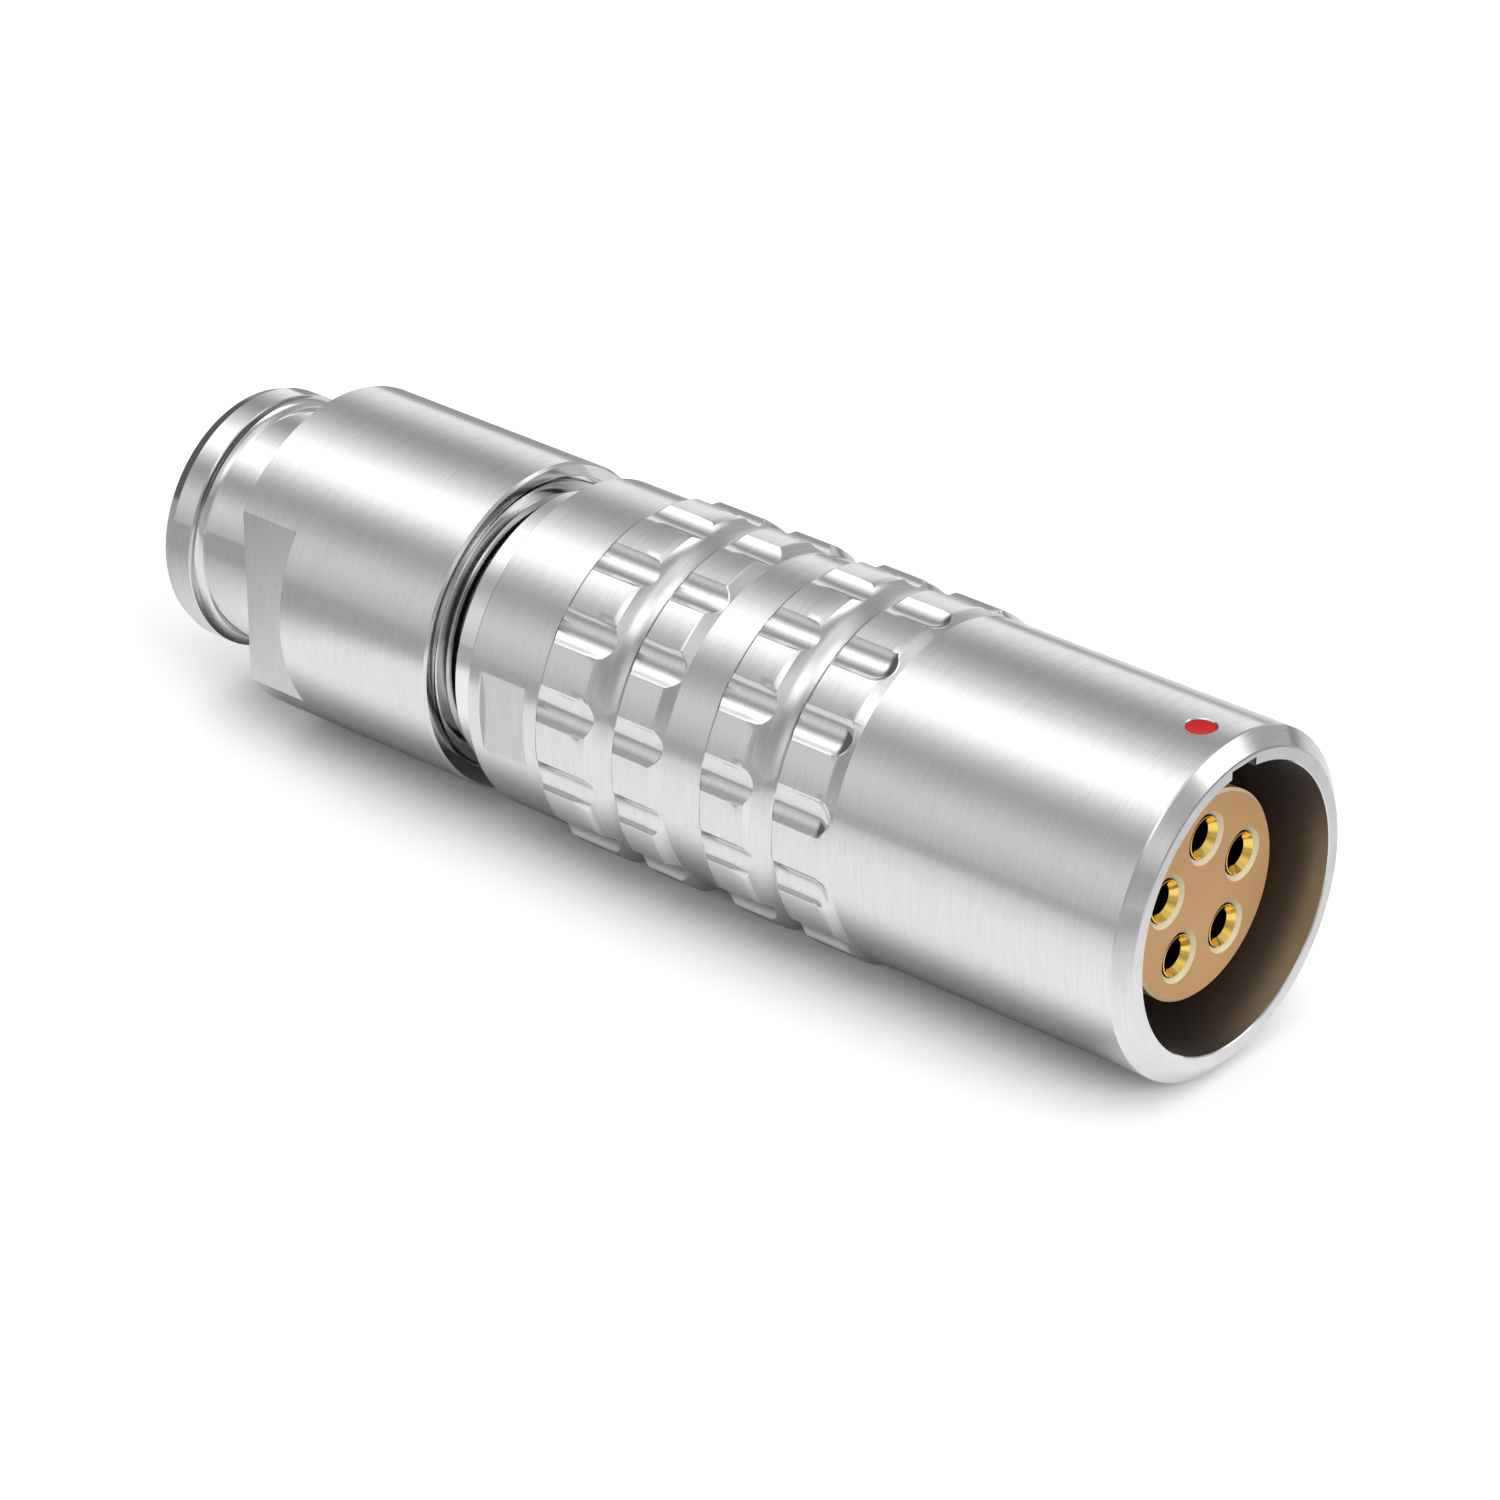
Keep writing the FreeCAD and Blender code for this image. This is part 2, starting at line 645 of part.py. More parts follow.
def collet_nut():
    """Turned nut: thread inside the shell, grooved head with two flats, neck and end lip."""
    hub_r = FACE_GROOVE_R - FACE_GROOVE_WIDTH
    face_groove_end = NUT_FACE + FACE_GROOVE_DEPTH
    cone_start = COLLET_END - COLLET_CONE_LENGTH
    cone_end_r = COLLET_R - COLLET_CONE_DROP + RUNNING
    cone_end = COLLET_END + NUT_NOSE_GAP
    fillet_start = LIP_START - LIP_FILLET
    fillet_middle = LIP_FILLET * math.sin(math.radians(45))
    fillet_top = NECK_R + LIP_FILLET
    body = turned([
        (NUT_NOSE, NUT_INNER_R),
        (NUT_NOSE, NUT_THREAD_R - NUT_THREAD_BEVEL),
        (NUT_NOSE + NUT_THREAD_BEVEL, NUT_THREAD_R),
        (RELIEF_START, NUT_THREAD_R),
        (RELIEF_START, RELIEF_R),
        (SHOULDER_START, RELIEF_R),
        (SHOULDER_START, SHOULDER_R),
        (NUT_FACE, SHOULDER_R),
        (NUT_FACE + HUB_BEVEL, hub_r),
        (face_groove_end, hub_r),
        (face_groove_end, FACE_GROOVE_R),
        (NUT_FACE, FACE_GROOVE_R),
        (NUT_FACE, NUT_R - NUT_EDGE),
        (NUT_FACE + NUT_EDGE, NUT_R),
        (NUT_BACK - NUT_EDGE, NUT_R),
        (NUT_BACK, NUT_R - NUT_EDGE),
        (NUT_BACK, NECK_R),
        (fillet_start, NECK_R),
        (fillet_start + fillet_middle, fillet_top - fillet_middle, LIP_START, fillet_top),
        (LIP_START, LIP_R),
        (LIP_TAPER_START, LIP_R),
        (NUT_END, LIP_R - LIP_TAPER_DROP),
        (NUT_END, CABLE_HOLE_R + CABLE_HOLE_EDGE),
        (NUT_END - CABLE_HOLE_EDGE, CABLE_HOLE_R),
        (cone_end, CABLE_HOLE_R),
        (cone_end, cone_end_r),
        (COLLET_END, cone_end_r),
        (cone_start, NUT_INNER_R),
    ])
    flats = side_flats(NUT_BACK - NUT_FLAT_LENGTH, NUT_BACK, NUT_R, NUT_FLAT_DEPTH)
    return body.cut(flats)


def save(name, shape):
    """Write one piece and print its size, as a check that it is one sound solid."""
    box = shape.BoundBox
    sound = shape.isValid() and len(shape.Solids) == 1
    print(f"{name}: volume {shape.Volume:.2f}, x {box.XMin:.2f} to {box.XMax:.2f}, sound {sound}")
    shape.exportStep(f"parts/{name}.step")


def main():
    os.makedirs("parts", exist_ok=True)
    upper, lower = carrier_halves()
    pieces = {
        "outer_shell": outer_shell(),
        "index_dot": index_dot(),
        "earthing_crown": earthing_crown(),
        "retaining_ring": retaining_ring(),
        "insulator": insulator(),
        "rear_insulator": rear_insulator(),
        "insert_carrier_upper": upper,
        "insert_carrier_lower": lower,
        "shield_cone": shield_cone(),
        "collet": collet(),
        "rear_seal": rear_seal(),
        "slip_ring": slip_ring(),
        "collet_nut": collet_nut(),
    }
    for number, shape in enumerate(contact_places(contact()), start=1):
        pieces[f"contact_{number}"] = shape
    for number, shape in enumerate(contact_places(contact_clip()), start=1):
        pieces[f"contact_clip_{number}"] = shape
    for name, shape in pieces.items():
        save(name, shape)


main()
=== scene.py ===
import math

import bmesh
import bpy
import mathutils
import numpy as np
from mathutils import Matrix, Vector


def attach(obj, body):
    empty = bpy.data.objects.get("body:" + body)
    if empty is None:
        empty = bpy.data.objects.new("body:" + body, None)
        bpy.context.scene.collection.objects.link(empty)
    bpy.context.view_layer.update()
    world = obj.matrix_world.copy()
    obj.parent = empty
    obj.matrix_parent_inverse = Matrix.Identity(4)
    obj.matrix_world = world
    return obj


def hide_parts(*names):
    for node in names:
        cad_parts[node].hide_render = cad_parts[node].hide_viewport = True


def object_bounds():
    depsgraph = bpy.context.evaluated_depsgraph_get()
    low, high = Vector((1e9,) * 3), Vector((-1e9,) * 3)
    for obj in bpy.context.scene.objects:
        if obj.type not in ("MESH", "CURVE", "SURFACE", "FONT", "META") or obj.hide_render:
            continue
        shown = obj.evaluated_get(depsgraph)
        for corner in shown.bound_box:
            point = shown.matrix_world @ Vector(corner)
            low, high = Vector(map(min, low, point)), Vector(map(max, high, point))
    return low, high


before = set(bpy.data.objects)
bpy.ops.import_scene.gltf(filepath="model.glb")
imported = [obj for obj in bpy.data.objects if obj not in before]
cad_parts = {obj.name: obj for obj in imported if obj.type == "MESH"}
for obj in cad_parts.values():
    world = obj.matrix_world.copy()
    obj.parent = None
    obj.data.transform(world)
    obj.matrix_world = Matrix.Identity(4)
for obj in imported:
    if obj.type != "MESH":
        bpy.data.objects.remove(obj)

# The cable socket half of a push pull circular connector, put together from the front to the back.
# Its axis lies along X with the mating face at x = 0, and its key slot and index dot are on top.
# Lengths below are in millimetres, and MM turns them into the frame's metres.
MM = 0.001
cad_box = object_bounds()


# Camera. A long lens looks down at the mating end from the front left, with no shift.
CAMERA_PLACE = (121.7, -175.4, 125.9)
CAMERA_RIGHT = (0.76315, 0.64622, 0.0)
CAMERA_UP = (-0.31420, 0.37106, 0.87384)
CAMERA_BACK = (0.56470, -0.66687, 0.48622)
CAMERA_LENS = 141.19
SENSOR_WIDTH = 36.0
CAMERA_CLIP = (0.005, 20.0)

camera_data = bpy.data.cameras.new("camera")
camera_data.lens = CAMERA_LENS
camera_data.sensor_width = SENSOR_WIDTH
camera_data.clip_start, camera_data.clip_end = CAMERA_CLIP
camera = bpy.data.objects.new("camera", camera_data)
bpy.context.scene.collection.objects.link(camera)
turn = mathutils.Matrix((CAMERA_RIGHT, CAMERA_UP, CAMERA_BACK)).transposed()
place = mathutils.Vector(CAMERA_PLACE) * MM
camera.matrix_world = mathutils.Matrix.LocRotScale(place, turn, None)
bpy.context.scene.camera = camera
bpy.context.scene.view_settings.view_transform = "Standard"


# Studio. Soft boxes hang in the dark round the connector, so the sky's brightness depends on the
# angle round its axis, and it changes from the cable end to the mating end. Each table gives angles
# in degrees from straight up, negative towards the camera, and the brightness there. A lamp lights
# what isn't metal. The white floor takes the shadow. For the rays that the metal mirrors, the
# floor's colour is painted darker with the distance from the connector and on its far side, and
# darker again close under it: painted light and shade. The background is white.
SKY_BACK = (
    (-180, 0.40), (-95, 0.50), (-84, 0.54), (-68, 0.80), (-55, 0.62), (-42, 0.34), (-31, 0.50),
    (-19, 1.10), (-6, 1.75), (7, 1.20), (18, 0.80), (30, 0.50), (42, 0.32), (54, 0.42),
    (66, 0.74), (80, 0.98), (95, 1.00), (180, 0.60),
)
SKY_SIDE = (
    (-180, 0.40), (-95, 0.60), (-80, 0.44), (-62, 0.35), (-47, 0.36), (-38, 0.90), (-27, 1.70),
    (-18, 1.15), (-6, 0.80), (12, 0.88), (22, 0.74), (32, 0.44), (42, 0.34), (54, 0.42),
    (66, 0.46), (80, 0.42), (95, 0.50), (180, 0.40),
)
SKY_FRONT = (
    (-180, 0.40), (-95, 0.60), (-80, 0.42), (-60, 0.32), (-42, 0.62), (-26, 0.80), (-14, 0.72),
    (0, 0.52), (14, 0.46), (26, 0.44), (34, 0.66), (42, 1.90), (52, 1.90), (61, 1.70),
    (69, 0.42), (80, 0.36), (95, 0.50), (180, 0.40),
)
SKY_REAR = 0.12
SKY_END = 0.50
SKY_SIDE_SPAN = (-0.50, 0.10)
SKY_FRONT_SPAN = (0.30, 0.60)
SKY_REAR_SPAN = (0.66, 0.84)
SKY_END_SPAN = (0.93, 0.995)
SKY_FULL = 2.0
SKY_LEVEL = 1.08
LAMP_PLACE = (700.0, -250.0, 420.0)
LAMP_SIZE = 400.0
LAMP_WATTS = 2.6
FLOOR_SIZE = 6000.0
FLOOR_WHITE = 1.40
FLOOR_GREY = 0.40
FLOOR_MIRRORED = 1.42
FLOOR_LEAST = 0.48
FLOOR_NEAR_FADE = 86.0
FLOOR_FAR_FADE = 250.0
FLOOR_FRONT_FADE = 50.0
FLOOR_BACK_START = 57.6
FLOOR_BACK_FADE = 14.0
FLOOR_PAINTED_SHADE = 0.38
FLOOR_DIM_ASIDE = (5.8, 11.5)
FLOOR_DIM_MIDDLE = 28.8
FLOOR_DIM_ALONG = (22.0, 27.5)
FLOOR_FAR_SIDE_PAINTED_SHADE = 0.76
NO_DIFFUSE_BOUNCE = 0.5


def feed(tree, node, inputs):
    """Set a node's inputs, by name or number: each to a value, or to the socket that feeds it."""
    for name, value in inputs.items():
        if isinstance(value, bpy.types.NodeSocket):
            tree.links.new(value, node.inputs[name])
        else:
            node.inputs[name].default_value = value


def add_node(tree, kind, inputs=None, **settings):
    """One new shader node, with its settings and then its inputs."""
    node = tree.nodes.new("ShaderNode" + kind)
    for name, value in settings.items():
        setattr(node, name, value)
    feed(tree, node, inputs or {})
    return node


def add_math(tree, operation, *values):
    """The result of one sum on numbers and sockets."""
    return add_node(tree, "Math", dict(enumerate(values)), operation=operation).outputs[0]


def map_range(tree, value, span, ends=(0.0, 1.0), interpolation="LINEAR"):
    """A value carried over from a span to the two ends, and held at the ends beyond the span."""
    node = add_node(tree, "MapRange", {
        "Value": value, "From Min": span[0], "From Max": span[1],
        "To Min": ends[0], "To Max": ends[1],
    }, interpolation_type=interpolation)
    return node.outputs["Result"]


def add_mix(tree, share, first, second, **settings):
    """A number or colour that turns from the first into the second as the share goes to 1."""
    node = add_node(tree, "Mix", {"Factor": share, "A": first, "B": second}, **settings)
    return node.outputs["Result"]


studio = bpy.data.worlds.new("studio")
bpy.context.scene.world = studio
studio.use_nodes = True
sky_tree = studio.node_tree
sky_tree.nodes.clear()
sky_place = add_node(sky_tree, "TexCoord")
sky_split = add_node(sky_tree, "SeparateXYZ", {0: sky_place.outputs["Generated"]})
sky_x = sky_split.outputs["X"]
sky_angle = add_math(sky_tree, "ARCTAN2", sky_split.outputs["Y"], sky_split.outputs["Z"])
sky_share = map_range(sky_tree, sky_angle, (-math.pi, math.pi))


def sky_grey(light):
    """A brightness as a grey, in which white stands for SKY_FULL."""
    return (light / SKY_FULL, light / SKY_FULL, light / SKY_FULL, 1)


def sky_ring(table):
    """The brightness round the axis from one of the tables, as the colour of a ramp."""
    ramp = add_node(sky_tree, "ValToRGB", {"Fac": sky_share})
    ramp.color_ramp.interpolation = "B_SPLINE"
    stops = ramp.color_ramp.elements
    stops.remove(stops[-1])
    for number, (angle, light) in enumerate(table):
        share = (angle + 180) / 360
        stop = stops[0] if number == 0 else stops.new(share)
        stop.position = share
        stop.color = sky_grey(light)
    return ramp.outputs["Color"]


def sky_blend(first, second, along, span):
    """One sky that turns into another while the direction's share along X goes through the span."""
    share = map_range(sky_tree, along, span, interpolation="SMOOTHSTEP")
    return add_mix(sky_tree, share, first, second, data_type="RGBA")


sky = sky_blend(sky_ring(SKY_BACK), sky_ring(SKY_SIDE), sky_x, SKY_SIDE_SPAN)
sky = sky_blend(sky, sky_ring(SKY_FRONT), sky_x, SKY_FRONT_SPAN)
sky_back_x = add_math(sky_tree, "MULTIPLY", sky_x, -1.0)
sky = sky_blend(sky, sky_grey(SKY_REAR), sky_back_x, SKY_REAR_SPAN)
sky = sky_blend(sky, sky_grey(SKY_END), sky_x, SKY_END_SPAN)
sky_light = add_node(sky_tree, "Background", {"Color": sky, "Strength": SKY_FULL * SKY_LEVEL})
sky_white = add_node(sky_tree, "Background", {"Color": (1, 1, 1, 1)})
sky_path = add_node(sky_tree, "LightPath")
sky_pick = add_node(sky_tree, "MixShader", {
    "Fac": sky_path.outputs["Is Camera Ray"], 1: sky_light.outputs[0], 2: sky_white.outputs[0],
})
add_node(sky_tree, "OutputWorld", {"Surface": sky_pick.outputs[0]})

lamp_data = bpy.data.lights.new("front_lamp", "AREA")
lamp_data.size = LAMP_SIZE * MM
lamp_data.energy = LAMP_WATTS
lamp = bpy.data.objects.new("front_lamp", lamp_data)
lamp.location = mathutils.Vector(LAMP_PLACE) * MM
lamp.rotation_euler = lamp.location.to_track_quat("Z", "Y").to_euler()
lamp.visible_glossy = False
bpy.context.scene.collection.objects.link(lamp)

floor_height = float(cad_box[0][2])
half_floor = FLOOR_SIZE / 2 * MM
floor_mesh = bpy.data.meshes.new("floor")
floor_mesh.from_pydata(
    [(x, y, floor_height) for x, y in (
        (-half_floor, -half_floor), (half_floor, -half_floor),
        (half_floor, half_floor), (-half_floor, half_floor),
    )],
    [], [(0, 1, 2, 3)],
)
floor = bpy.data.objects.new("floor", floor_mesh)
bpy.context.scene.collection.objects.link(floor)

paper = bpy.data.materials.new("white_paper")
paper.use_nodes = True
paper_tree = paper.node_tree
paper_tree.nodes.clear()
paper_path = add_node(paper_tree, "LightPath")
paper_place = add_node(paper_tree, "TexCoord")
paper_split = add_node(paper_tree, "SeparateXYZ", {0: paper_place.outputs["Object"]})
across = paper_split.outputs["Y"]
ahead = paper_split.outputs["X"]
behind = add_math(paper_tree, "ADD", ahead, FLOOR_BACK_START * MM)
# Painted light: the mirrored floor's colour fades with the distance from the connector.
fade = FLOOR_MIRRORED
for direction, reach in (
    (across, -FLOOR_NEAR_FADE), (across, FLOOR_FAR_FADE),
    (ahead, FLOOR_FRONT_FADE), (behind, -FLOOR_BACK_FADE),
):
    away = add_math(paper_tree, "DIVIDE", direction, reach * MM)
    away = add_math(paper_tree, "MAXIMUM", away, 0.0)
    away = add_math(paper_tree, "ADD", away, 1.0)
    fade = add_math(paper_tree, "DIVIDE", fade, away)
fade = add_math(paper_tree, "MAXIMUM", fade, FLOOR_LEAST)
# Painted shade: the mirrored floor is darker again close under the connector.
dim_aside = [reach * MM for reach in FLOOR_DIM_ASIDE]
dim_along = [reach * MM for reach in FLOOR_DIM_ALONG]
aside = add_math(paper_tree, "ABSOLUTE", across)
under = map_range(paper_tree, aside, dim_aside, (FLOOR_PAINTED_SHADE, 1.0), "SMOOTHSTEP")
along = add_math(paper_tree, "ADD", ahead, FLOOR_DIM_MIDDLE * MM)
past_ends = map_range(paper_tree, add_math(paper_tree, "ABSOLUTE", along), dim_along)
under = add_math(paper_tree, "MAXIMUM", under, past_ends)
fade = add_math(paper_tree, "MULTIPLY", fade, under)
# Painted shade: the mirrored floor is darker on the far side of the axis.
beyond = map_range(paper_tree, across, (0.0, dim_aside[1]), (1.0, FLOOR_FAR_SIDE_PAINTED_SHADE))
fade = add_math(paper_tree, "MULTIPLY", fade, beyond)
glossy = paper_path.outputs["Is Glossy Ray"]
mirrored = add_math(paper_tree, "ADD", glossy, paper_path.outputs["Is Transmission Ray"])
direct = add_math(paper_tree, "LESS_THAN", paper_path.outputs["Diffuse Depth"], NO_DIFFUSE_BOUNCE)
mirrored = add_math(paper_tree, "MULTIPLY", mirrored, direct)
seen = paper_path.outputs["Is Camera Ray"]
other = add_math(paper_tree, "SUBTRACT", 1.0, seen)
other = add_math(paper_tree, "SUBTRACT", other, mirrored)
shade = add_math(paper_tree, "MULTIPLY", seen, FLOOR_WHITE)
shade = add_math(paper_tree, "MULTIPLY_ADD", mirrored, fade, shade)
shade = add_math(paper_tree, "MULTIPLY_ADD", other, FLOOR_GREY, shade)
paper_dull = add_node(paper_tree, "BsdfDiffuse", {"Color": shade})
add_node(paper_tree, "OutputMaterial", {"Surface": paper_dull.outputs[0]})
floor_mesh.materials.append(paper)


# Outer shell. It is turned from brass bar, fluted along four grip bands, milled with a key slot and
# two small flats, then chromed and brushed round its axis.
BARREL_R = 8.00
RIM_FACE_R = 7.23
RIM_CHAMFER = 0.62
LAND_R = 8.23
RING_R = 7.85
BAND_1 = (15.60, 19.00)
BAND_2 = (20.68, 23.08)
BAND_3 = (25.28, 28.13)
BAND_4 = (29.81, 32.61)
SHELL_END = 36.81
BAND_CHAMFER = 0.50
BAND_BACK_BEVEL = 0.32
SHELL_END_CHAMFER = 0.15
GROOVE_FLOOR_R = 7.55
GROOVE_CORNER = 0.28
GROOVE_ROUND = 1.36
GROOVE_BEVEL = 0.28
FLUTE_COUNT = 14
FLUTE_WIDTH = 1.70
FLUTE_FLOOR_R = 7.87
FLUTE_BALL = 16.50
FLAT_SPAN = (33.41, 36.01)
FLAT_DISTANCE = 7.60
SOCKET_R = 6.60
SOCKET_DEPTH = 12.50
LATCH_SPAN = (5.60, 7.20)
LATCH_R = 6.95
KEY_HALF = 0.84
KEY_FLOOR = 6.93
KEY_LENGTH = 9.00
SPLIT_RING_SPAN = (11.04, 11.68)
SPLIT_RING_R = 6.90
WEB_BACK = 14.00
WEB_BORE_R = 4.84
CARRIER_BORE_R = 6.00
THREAD_START = 27.81
THREAD_R = 6.50
SEAL_SEAT_START = 36.11
SEAL_SEAT_R = 6.78
DOT_PLACE = 2.27
DOT_HOLE_R = 0.68
DOT_HOLE_FLOOR_R = 7.53
DOT_HOLE_EDGE = 0.05
WINDOW_HALF = 0.90
WINDOW_STEPS = 18
EASED = 0.05
# How finely the mesh is cut, with angles in degrees and MERGED in the frame's metres.
FLUTE_COLUMNS = 15
LAND_COLUMNS = 7
EDGE_FACET = 0.16
BAND_ROWS = 4
BALL_BAND_ROWS = 12
CORNER_ROWS = 6
ROUND_ROWS = 10
BARREL_ROWS = 7
HALVINGS = 40
MERGED = 3e-7
SHARP_ANGLE = 16
TOUCH = 1e-6
DOUBLES = 1e-5
EASED_SHARE = 0.4
# The finish. Streaks are turns of noise per metre, and STREAK_DEPTH is in metres. Faces are told
# apart by where their middles lie, give or take MARGIN or HAIR.
CHROME = (0.76, 0.76, 0.765)
FINE_STREAK = (16000, 700, 700)
WIDE_STREAK = (1500, 60, 60)
FINE_SPAN = (0.25, 0.75)
WIDE_SPAN = (0.3, 0.7)
STREAK_LIFT = 0.4
ROUGHNESS_SWING = 0.05
STREAK_BUMP = 0.34
STREAK_DEPTH = 0.000004
POLISHED_ROUGHNESS = 0.11
# These two make marked faces rougher and darker: painted shade down the bores, and a duller finish
# on the milled flats.
DULL_ROUGHNESS = 0.36
DULL_AND_PAINTED_SHADE = 0.66
MILLED = 0.55
MARGIN = 0.01
HAIR = 0.001
BORED_R = 7.03


def flute_angles():
    """Angles round the axis: FLUTE_COLUMNS across each flute, LAND_COLUMNS across each land, and
    none on the edges between them, so that a narrow facet takes each edge's place."""
    step = 2 * math.pi / FLUTE_COUNT
    half = math.asin(FLUTE_WIDTH / 2 / LAND_R)
    ease = math.radians(EDGE_FACET)
    across = np.concatenate([
        np.linspace(-half + ease, half - ease, FLUTE_COLUMNS),
        np.linspace(half + ease, step - half - ease, LAND_COLUMNS),
    ])
    return (across[None, :] + step * np.arange(FLUTE_COUNT)[:, None]).ravel()


def wrapped(angles):
    """The angles between minus and plus half a turn, in order and without doubles."""
    folded = (np.asarray(angles) + math.pi) % (2 * math.pi) - math.pi
    folded = np.sort(folded)
    return folded[np.concatenate([[True], np.diff(folded) > DOUBLES])]


def flute_radius(angles, station):
    """Distance from the axis to a flute's floor: a round bar that lies along the shell outside it,
    with a ball at its front end, or the land's radius between two flutes."""
    half_width = FLUTE_WIDTH / 2
    sag = math.sqrt(LAND_R ** 2 - half_width ** 2) - FLUTE_FLOOR_R
    bar_r = (half_width ** 2 + sag ** 2) / (2 * sag)
    centre = FLUTE_FLOOR_R + bar_r
    step = 2 * math.pi / FLUTE_COUNT
    offset = (angles + step / 2) % step - step / 2
    ahead = np.minimum(np.asarray(station) - FLUTE_BALL, 0)
    under = bar_r ** 2 - ahead ** 2 - (centre * np.sin(offset)) ** 2
    floor_r = centre * np.cos(offset) - np.sqrt(np.maximum(under, 0))
    return np.where(under > 0, np.minimum(floor_r, LAND_R), LAND_R)


def key_radius(angles):
    """Distance from the axis to the bore with its key slot: the slot's flat floor within its
    corners, and the bore elsewhere."""
    corner = math.atan2(KEY_HALF, KEY_FLOOR)
    return np.where(np.abs(angles) < corner + TOUCH, KEY_FLOOR / np.cos(angles), SOCKET_R)


def flat_radius(angles, radius, distance):
    """Distance from the axis to a round with two flats: the flat's plane where it is nearer."""
    return np.minimum(radius, distance / np.maximum(np.abs(np.sin(angles)), TOUCH))


def flat_edges(radius, distance):
    """The four angles at which a pair of flats meets the round."""
    edge = math.asin(distance / radius)
    return [edge, math.pi - edge, -edge, edge - math.pi]


class Profile:
    """A turned profile, put together row by row. A row is a station and a radius at each angle."""

    def __init__(self, angles):
        self.angles = angles
        self.stations = []
        self.radii = []
        self.corners = []

    def row(self, station, radius, sharp=False):
        """Add a row. A sharp one is a corner, which is eased in the end."""
        self.stations.append(np.broadcast_to(station, self.angles.shape))
        self.radii.append(np.broadcast_to(radius, self.angles.shape))
        self.corners.append(sharp)

    def eased(self):
        """Stations and radii of the rows, each corner cut back by EASED along both of its sides."""
        stations, radii = [], []
        count = len(self.corners)
        for here in range(count):
            if not self.corners[here]:
                stations.append(self.stations[here])
                radii.append(self.radii[here])
                continue
            for other in (here - 1, (here + 1) % count):
                away_s = self.stations[other] - self.stations[here]
                away_r = self.radii[other] - self.radii[here]
                length = np.maximum(np.hypot(away_s, away_r), TOUCH)
                share = np.minimum(EASED / length, EASED_SHARE)
                stations.append(self.stations[here] + away_s * share)
                radii.append(self.radii[here] + away_r * share)
        return np.array(stations), np.array(radii)


def round_points(stations, radii, angles):
    """Points at those stations behind the mating face, radii off the axis and angles from the top,
    as x = -station, y = radius times sine, z = radius times cosine."""
    return np.stack(np.broadcast_arrays(
        -stations * MM, radii * np.sin(angles) * MM, radii * np.cos(angles) * MM,
    ), axis=-1)


def patch(points, loop_rows=True, loop_columns=True, left_out=None):
    """A grid of points with its faces, joined end to end where it loops. left_out marks the faces
    that are missing, counted by their first row and column."""
    rows, columns = points.shape[:2]
    j, i = np.meshgrid(
        np.arange(rows if loop_rows else rows - 1),
        np.arange(columns if loop_columns else columns - 1), indexing="ij",
    )
    if left_out is not None:
        keep = ~left_out[:j.shape[0], :j.shape[1]]
        j, i = j[keep], i[keep]
    j, i = j.ravel(), i.ravel()
    j2, i2 = (j + 1) % rows, (i + 1) % columns
    faces = [j * columns + i, j2 * columns + i, j2 * columns + i2, j * columns + i2]
    return points, np.stack(faces, 1)


def build(name, patches, material):
    """One object from several patches. Points that meet are merged, faces are turned outwards, and
    edges sharper than SHARP_ANGLE stay sharp."""
    points = np.concatenate([grid.reshape(-1, 3) for grid, faces in patches])
    start = 0
    faces_all = []
    for grid, faces in patches:
        faces_all.append(faces + start)
        start += grid.reshape(-1, 3).shape[0]
    mesh = bpy.data.meshes.new(name)
    mesh.from_pydata(points.tolist(), [], np.concatenate(faces_all).tolist())
    work = bmesh.new()
    work.from_mesh(mesh)
    bmesh.ops.remove_doubles(work, verts=work.verts, dist=MERGED)
    bmesh.ops.dissolve_degenerate(work, edges=work.edges, dist=MERGED)
    bmesh.ops.recalc_face_normals(work, faces=work.faces)
    work.to_mesh(mesh)
    work.free()
    mesh.shade_smooth()
    mesh.set_sharp_from_angle(angle=math.radians(SHARP_ANGLE))
    mesh.materials.append(material)
    piece = bpy.data.objects.new(name, mesh)
    bpy.context.scene.collection.objects.link(piece)
    return piece


